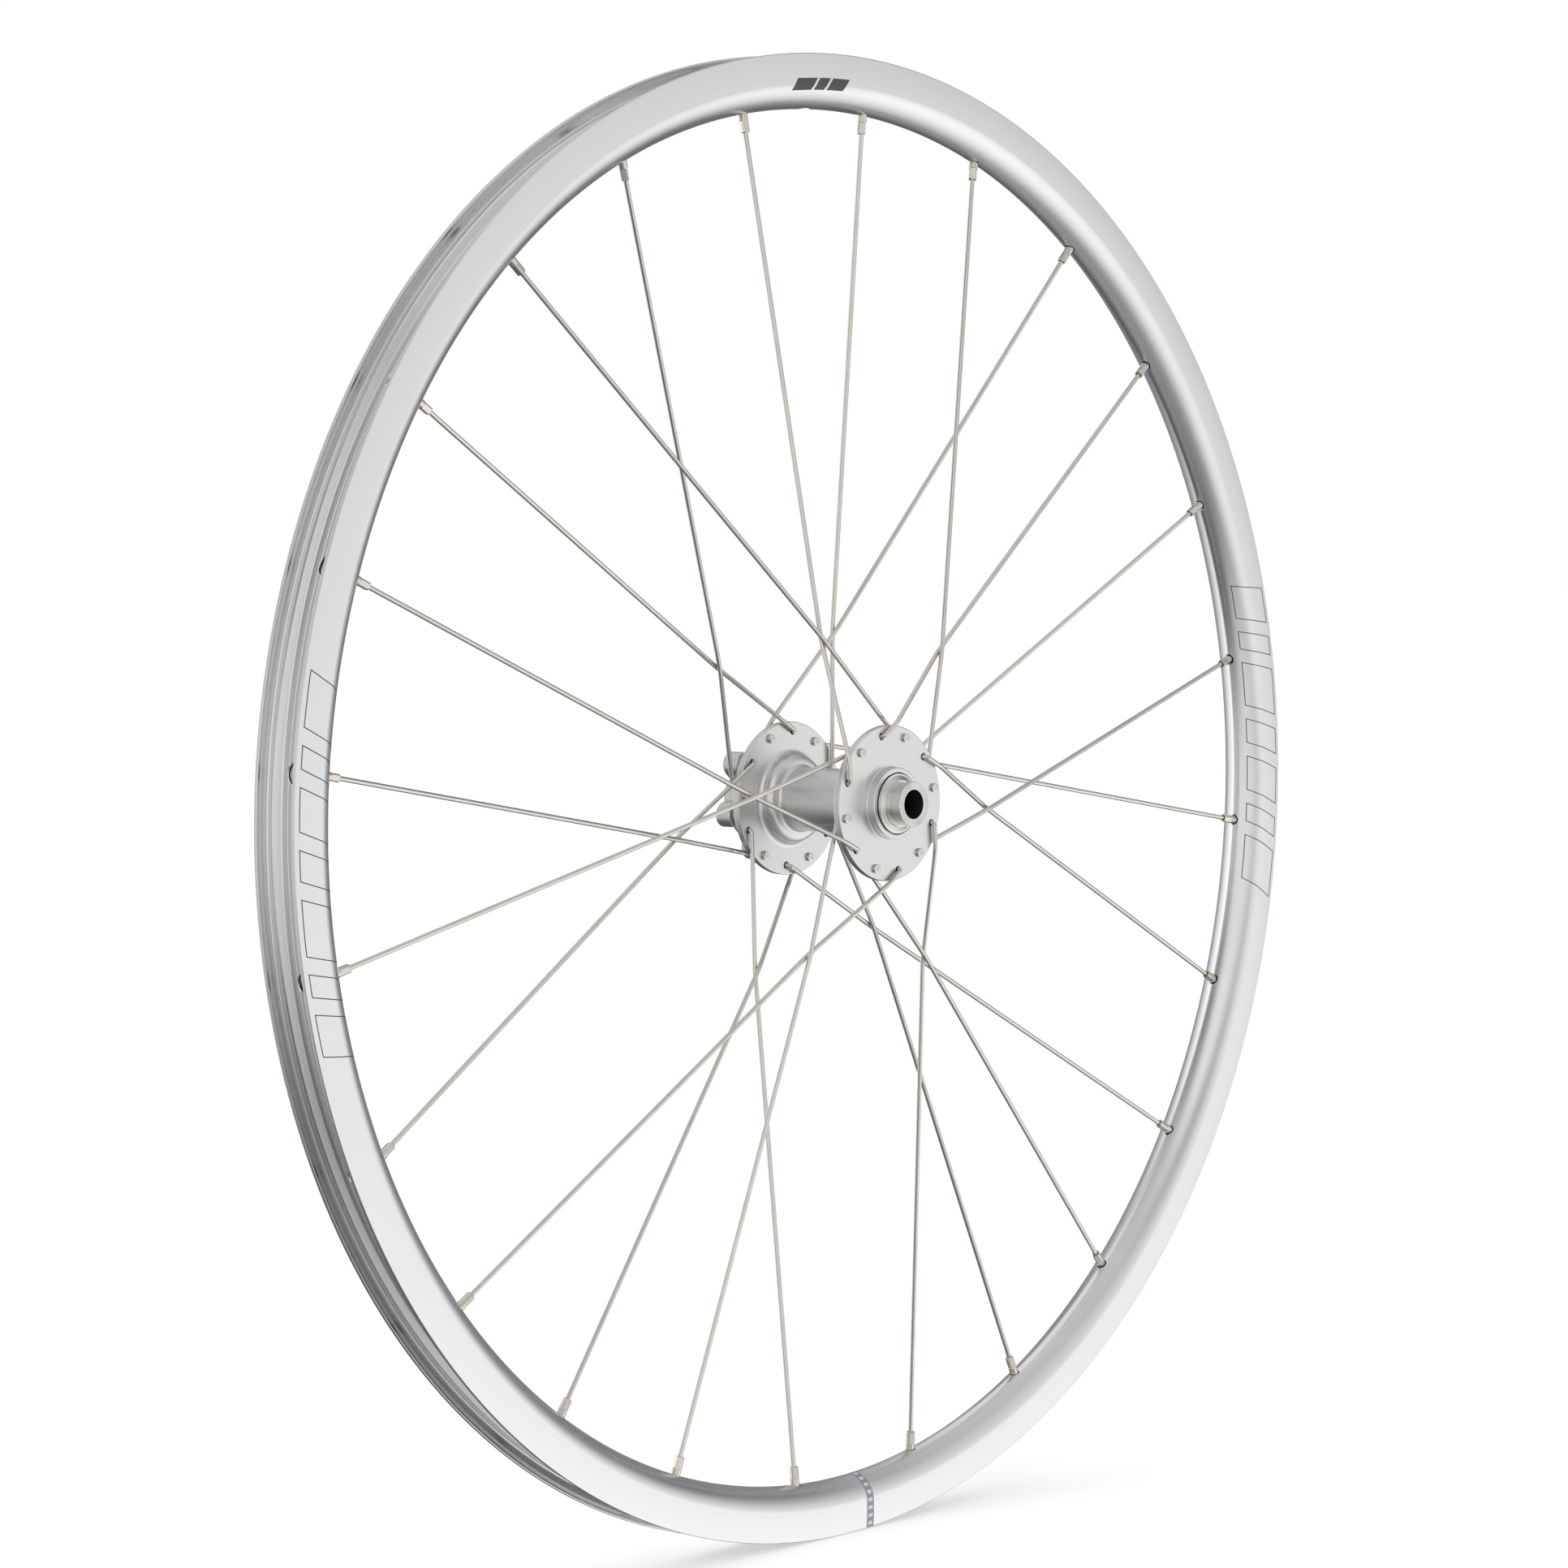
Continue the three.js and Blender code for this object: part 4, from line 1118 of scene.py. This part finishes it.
def makeAxle():
    look = axleLook
    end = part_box("axle")[1].y
    outline = softOutline([
        (look["bore"], -end, look["boreRound"]), (look["journal"], -end, look["endRound"]),
        (look["journal"], -look["stop"]),
        (look["shoulder"], -look["stop"], look["shoulderRound"]),
        (look["shoulder"], look["stop"], look["shoulderRound"]),
        (look["journal"], look["stop"]),
        (look["journal"], end, look["endRound"]), (look["bore"], end, look["boreRound"])])
    axle = outlinePiece("axleTube", look["guide"], outline)
    # Faces inside the bore get near-black painted shade.
    finish = {"Material": capSilver, "Bore Material": boreShadeBlack,
              "Bore Radius": look["bore"] + capLook["boreMargin"]}
    addTree(axle, turnTree, finish, guideRadius=look["guide"], steps=look["steps"])
    makePlain(axle)
    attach(axle, axleBody)
    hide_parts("axle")


makeAxle()


bearingLook = {
    "steps": 112, "bore": 8.5 * mm, "outer": 13 * mm, "land": 1.4 * mm, "edge": 0.3 * mm,
    "ball": 1.5 * mm, "grooveGap": 0.08 * mm, "balls": 12, "cageThickness": 0.5 * mm,
    "cageHalf": 1.25 * mm, "grooveSteps": 10, "ballBands": 14, "ballSides": 24, "ballPole": 0.02,
    "raceSteps": 4, "raceHold": 0.05 * mm, "landRound": 0.15 * mm,
    "ribbonSteps": 2, "ribbonHold": 0.02 * mm, "ribbonRound": 0.1 * mm,
}
pitchRadius = (bearingLook["bore"] + bearingLook["outer"]) / 2


# The ball groove of a race, whose land faces the balls. Away is 1 for the outer race.
def grooveArc(away, middle, landRadius):
    radius = bearingLook["ball"] + bearingLook["grooveGap"]
    reach = math.acos(abs(landRadius - pitchRadius) / radius)
    steps = bearingLook["grooveSteps"]
    turns = [reach * (2 * k / steps - 1) for k in range(steps + 1)]
    return [(pitchRadius + away * radius * math.cos(turn), middle + radius * math.sin(turn))
            for turn in turns]


def makeRace(name, node, body, away):
    look = bearingLook
    low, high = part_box(node)[0].y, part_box(node)[1].y
    back = look["outer"] if away > 0 else look["bore"]
    land = back - away * look["land"]
    groove = grooveArc(away, (low + high) / 2, land)
    outline = softOutline([
        (back, high, look["edge"]), (back, low, look["edge"]), (land, low, look["landRound"]),
        *groove, (land, high, look["landRound"])], look["raceSteps"], look["raceHold"])
    race = outlinePiece(name, pitchRadius, outline)
    addTree(race, turnTree, {"Material": bearingSteel}, guideRadius=pitchRadius,
            steps=look["steps"])
    makePlain(race)
    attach(race, body)
    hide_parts(node)


# The balls and the ribbon cage that spaces them.
def makeBallCage(name, node, body):
    look = bearingLook
    middle = (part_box(node)[0].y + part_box(node)[1].y) / 2
    inner = pitchRadius - look["cageThickness"] / 2
    outer = pitchRadius + look["cageThickness"] / 2
    low, high = middle - look["cageHalf"], middle + look["cageHalf"]
    corners = ((inner, low), (outer, low), (outer, high), (inner, high))
    ribbon = softOutline([(*corner, look["ribbonRound"]) for corner in corners],
                         look["ribbonSteps"], look["ribbonHold"])
    cage = outlinePiece(name, pitchRadius, ribbon)
    rings = []
    for k in range(look["ballBands"] + 1):
        turn = math.pi * k / look["ballBands"]
        around = max(math.sin(turn), look["ballPole"])
        rings.append((look["ball"] * around, -look["ball"] * math.cos(turn)))
    ball = standUpright(turnedPiece("ball", rings, look["ballSides"]), pitchRadius, middle)
    finish = {"Material": bearingSteel}
    addTree(cage, turnTree, finish, guideRadius=pitchRadius, steps=look["steps"])
    addTree(cage, ringJoinTree, finish, copy=ball, count=look["balls"])
    makePlain(cage)
    discard(ball)
    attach(cage, body)
    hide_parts(node)


for word in ("right", "left"):
    makeRace(f"{word}OuterRace", f"{word}_bearing_outer_race", wheelBody, 1)
    makeRace(f"{word}InnerRace", f"{word}_bearing_inner_race", axleBody, -1)
    makeBallCage(f"{word}BallCage", f"{word}_bearing_ball_cage", f"{word}_ball_cage")
print("axle, caps and bearings done")


# The outline of the rim's right flank, from its lip edge to the spoke bed.
flankPoints = [Vector(point) for point in (
    [(rimRadius, rightSide * (rimHalf - rimLook["crown"]))]
    + wallPoints(rightSide, rimLook["rightWall"])
    + noseSide(rightSide, rimLook["rightWall"], rimLook["rightFullness"]))]


# A place on the right flank, this far down from the lip edge along the surface.
def flankPoint(down, angle, proud):
    left = down
    for a, b in zip(flankPoints, flankPoints[1:]):
        step = b - a
        if left <= step.length:
            break
        left -= step.length
    spot = a + step * min(left / step.length, 1)
    outward = Vector((-step.y, step.x)).normalized()
    if outward.y > 0:
        outward = -outward
    spot += outward * proud
    return clockPoint(spot.x, angle, spot.y)


# The inner and outer corners of a closed line through (down, along) points.
def outlineStrip(points, width):
    corners = []
    for i, here in enumerate(points):
        before, after = points[i - 1], points[(i + 1) % len(points)]
        arriving, leaving = (here - before).normalized(), (after - here).normalized()
        normal = Vector((-arriving.y, arriving.x)) + Vector((-leaving.y, leaving.x))
        normal = normal / normal.length_squared * 2
        corners.append((here - normal * width / 2, here + normal * width / 2))
    return corners


markLook = {
    "lineWidth": 0.42 * mm, "proud": 0.05 * mm, "sunk": 0.06 * mm, "stepLength": 0.5 * mm,
    "top": 2.6 * mm, "bottom": 22 * mm, "slant": 7 * mm,
    "blockLengths": (17, 9, 22, 12, 17, 9, 22), "gap": 7 * mm,
    "frontMiddle": math.radians(86.6), "backMiddle": math.radians(267.3),
    "barAngle": math.radians(-3.1), "barTop": 10.5 * mm, "barBottom": 15.6 * mm,
    "barSlant": 4.5 * mm, "barLengths": (13, 7, 11), "barGap": 1.6 * mm,
    "bandWidth": 4.6 * mm, "bandTop": 0.3 * mm, "bandBottom": 28 * mm, "bandShift": 0.9 * mm,
    "ticks": 8, "tickWidth": 2.6 * mm, "tickShare": 0.45, "tickProud": 0.07 * mm,
}


# A thin solid patch between two (down, along) edges, in steps that follow the flank.
def patchMesh(vertices, faces, edgeA, edgeB, middleAngle, proud):
    look = markLook
    length = max((edgeA[1] - edgeA[0]).length, (edgeB[1] - edgeB[0]).length)
    steps = max(1, round(length / look["stepLength"]))
    first = len(vertices)
    for k in range(steps + 1):
        for edge, lift in ((edgeA, -look["sunk"]), (edgeA, proud),
                           (edgeB, proud), (edgeB, -look["sunk"])):
            spot = edge[0].lerp(edge[1], k / steps)
            vertices.append(flankPoint(spot.x, middleAngle + spot.y / rimRadius, lift))
    for k in range(steps):
        for j in range(4):
            n = (j + 1) % 4
            a, b = first + 4 * k, first + 4 * (k + 1)
            faces.append((a + j, b + j, b + n, a + n))
    last = first + 4 * steps
    faces.append((first, first + 1, first + 2, first + 3))
    faces.append((last + 3, last + 2, last + 1, last))


# A closed outline, made of one patch for each of its sides.
def outlinedBlock(vertices, faces, points, middleAngle):
    corners = outlineStrip(points, markLook["lineWidth"])
    for i, (inner, outer) in enumerate(corners):
        nextInner, nextOuter = corners[(i + 1) % len(corners)]
        patchMesh(vertices, faces, (inner, nextInner), (outer, nextOuter), middleAngle,
                  markLook["proud"])


# A row of slanted outlined blocks, centred on one clock angle of the right flank.
def makeBlockRow(name, middleAngle):
    look = markLook
    vertices, faces = [], []
    total = sum(look["blockLengths"]) * mm + look["gap"] * (len(look["blockLengths"]) - 1)
    along = -total / 2
    for length in look["blockLengths"]:
        end = along + length * mm
        lean = look["slant"] / 2
        points = [Vector(point) for point in (
            (look["top"], along + lean), (look["top"], end + lean),
            (look["bottom"], end - lean), (look["bottom"], along - lean))]
        outlinedBlock(vertices, faces, points, middleAngle)
        along = end + look["gap"]
    finishMark(newPiece(name, vertices, [], faces), printInk)


# Outward faces, one material and a ride on the wheel.
def finishMark(mark, material):
    work = bmesh.new()
    work.from_mesh(mark.data)
    bmesh.ops.recalc_face_normals(work, faces=work.faces)
    work.to_mesh(mark.data)
    work.free()
    mark.data.materials.append(material)
    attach(mark, wheelBody)


# Three plain slanted bars at the top of the wheel.
def makeTopBars():
    look = markLook
    vertices, faces = [], []
    total = sum(look["barLengths"]) * mm + look["barGap"] * (len(look["barLengths"]) - 1)
    along = -total / 2
    for length in look["barLengths"]:
        end = along + length * mm
        lean = look["barSlant"] / 2
        edges = [(Vector((look["barTop"], x + lean)), Vector((look["barBottom"], x - lean)))
                 for x in (along, end)]
        patchMesh(vertices, faces, edges[0], edges[1], look["barAngle"], look["proud"])
        along = end + look["barGap"]
    finishMark(newPiece("topBars", vertices, [], faces), printInk)


# A plain band over the rim's joint, with a row of light ticks.
def makeJointBand():
    look = markLook
    vertices, faces = [], []
    half, shift = look["bandWidth"] / 2, look["bandShift"]
    edges = [(Vector((look["bandTop"], x)), Vector((look["bandBottom"], x)))
             for x in (shift - half, shift + half)]
    patchMesh(vertices, faces, edges[0], edges[1], jointAngle, look["proud"])
    finishMark(newPiece("jointBand", vertices, [], faces), bandGrey)

    vertices, faces = [], []
    pitch = (look["bandBottom"] - look["bandTop"]) / look["ticks"]
    for k in range(look["ticks"]):
        top = look["bandTop"] + pitch * (k + (1 - look["tickShare"]) / 2)
        edges = [(Vector((top, x)), Vector((top + pitch * look["tickShare"], x)))
                 for x in (shift - look["tickWidth"] / 2, shift + look["tickWidth"] / 2)]
        patchMesh(vertices, faces, edges[0], edges[1], jointAngle, look["tickProud"])
    finishMark(newPiece("jointTicks", vertices, [], faces), tickWhite)


makeBlockRow("blockRowFront", markLook["frontMiddle"])
makeBlockRow("blockRowBack", markLook["backMiddle"])
makeTopBars()
makeJointBand()
print("marks done")


floorLook = {
    "half": 30, "drop": 0.2 * mm, "patchSize": 0.4, "contrast": 0.6,
    "dark": (0.90, 0.90, 0.90, 1), "light": (0.94, 0.94, 0.94, 1), "roughness": 0.9,
    "specular": 0.1, "glowColour": (1, 1, 1, 1), "glow": 0.45,
}


# A wide pale floor, just under the wheel, with a faint glow of its own.
def makeStage():
    look = floorLook
    half, height = look["half"], cadBox[0].z - look["drop"]
    corners = ((-half, -half), (half, -half), (half, half), (-half, half))
    floor = newPiece("floor", [(x, y, height) for x, y in corners], [], [(0, 1, 2, 3)])
    material, tree, shader = newMaterial("paleFloor")
    film = useGroup(tree, cloudyFilm, patchSize=look["patchSize"], contrast=look["contrast"])
    tree.links.new(mixColours(tree, film, look["dark"], look["light"]), shader["Base Color"])
    shader["Roughness"].default_value = look["roughness"]
    shader["Specular IOR Level"].default_value = look["specular"]
    shader["Emission Color"].default_value = look["glowColour"]
    shader["Emission Strength"].default_value = look["glow"]
    floor.data.materials.append(material)
    floor.visible_glossy = False


makeStage()


cameraLook = {
    "azimuth": math.radians(-48.34), "elevation": math.radians(3.05), "distance": 1.99438,
    "across": -0.01746, "up": 0.00682, "lens": 106.71, "sensor": 36, "farClip": 100,
}


def makeCamera():
    look = cameraLook
    a, e = look["azimuth"], look["elevation"]
    back = Vector((math.sin(a) * math.cos(e), -math.cos(a) * math.cos(e), math.sin(e)))
    right = Vector((math.cos(a), math.sin(a), 0))
    up = back.cross(right)
    camera = bpy.data.objects.new("camera", bpy.data.cameras.new("camera"))
    bpy.context.scene.collection.objects.link(camera)
    camera.location = back * look["distance"] + right * look["across"] + up * look["up"]
    camera.rotation_mode = "QUATERNION"
    camera.rotation_quaternion = (-back).to_track_quat("-Z", "Y")
    camera.data.lens = look["lens"]
    camera.data.sensor_width = look["sensor"]
    camera.data.clip_end = look["farClip"]
    bpy.context.scene.camera = camera


makeCamera()


# Soft panels of light in a dim studio. Each is its direction, its brightness, and the cosines of
# the angles from that direction where it has faded out and where it is full.
studioLook = {
    "dim": (0.115, 0.118, 0.125), "background": (1, 1, 1), "panels": [
        ((0.55, -0.83, -0.2), 0.84, 0.42, 0.99),
        ((0.75, -0.35, -0.56), 0.24, 0.72, 0.98),
        ((-0.75, -0.66, 0.15), 0.85, 0.68, 0.97),
        ((0.0, -0.2, 1.0), 0.55, 0.45, 0.92),
        ((-0.6, 0.8, 0.1), 0.50, 0.62, 0.97),
        ((-0.1, 1.0, 0.0), 0.85, 0.80, 0.98),
        ((-1.0, 0.05, 0.0), 0.60, 0.90, 0.985),
        ((0.1, 0.5, 0.86), 0.35, 0.70, 0.97),
        ((0.7, 0.7, 0.35), 0.16, 0.60, 0.97),
        ((0.2, -0.5, -0.85), 0.24, 0.35, 0.95),
    ],
}


def makeStudio():
    world = bpy.data.worlds.new("studio")
    world.use_nodes = True
    bpy.context.scene.world = world
    tree = world.node_tree
    tree.nodes.clear()
    towards = addNode(tree, "ShaderNodeTexCoord").outputs["Generated"]
    light = None
    for direction, brightness, outer, inner in studioLook["panels"]:
        facing = addNode(tree, "ShaderNodeVectorMath", {
            0: towards, 1: tuple(Vector(direction).normalized())}, operation="DOT_PRODUCT")
        panel = addNode(tree, "ShaderNodeMapRange", {
            "Value": facing.outputs["Value"], "From Min": outer, "From Max": inner,
            "To Min": 0.0, "To Max": brightness}, interpolation_type="SMOOTHSTEP").outputs[0]
        light = panel if light is None else mathNode(tree, "ADD", light, panel)
    tinted = addNode(tree, "ShaderNodeVectorMath", {0: studioLook["dim"], 1: light},
                     operation="ADD")
    lit = addNode(tree, "ShaderNodeBackground", {"Color": tinted.outputs[0], "Strength": 1.0})
    plain = addNode(tree, "ShaderNodeBackground", {"Color": (*studioLook["background"], 1)})
    seen = addNode(tree, "ShaderNodeLightPath").outputs["Is Camera Ray"]
    mix = addNode(tree, "ShaderNodeMixShader", {0: seen, 1: lit.outputs[0], 2: plain.outputs[0]})
    addNode(tree, "ShaderNodeOutputWorld", {"Surface": mix.outputs[0]})
    bpy.context.scene.view_settings.view_transform = "Standard"


makeStudio()

print("scene built")
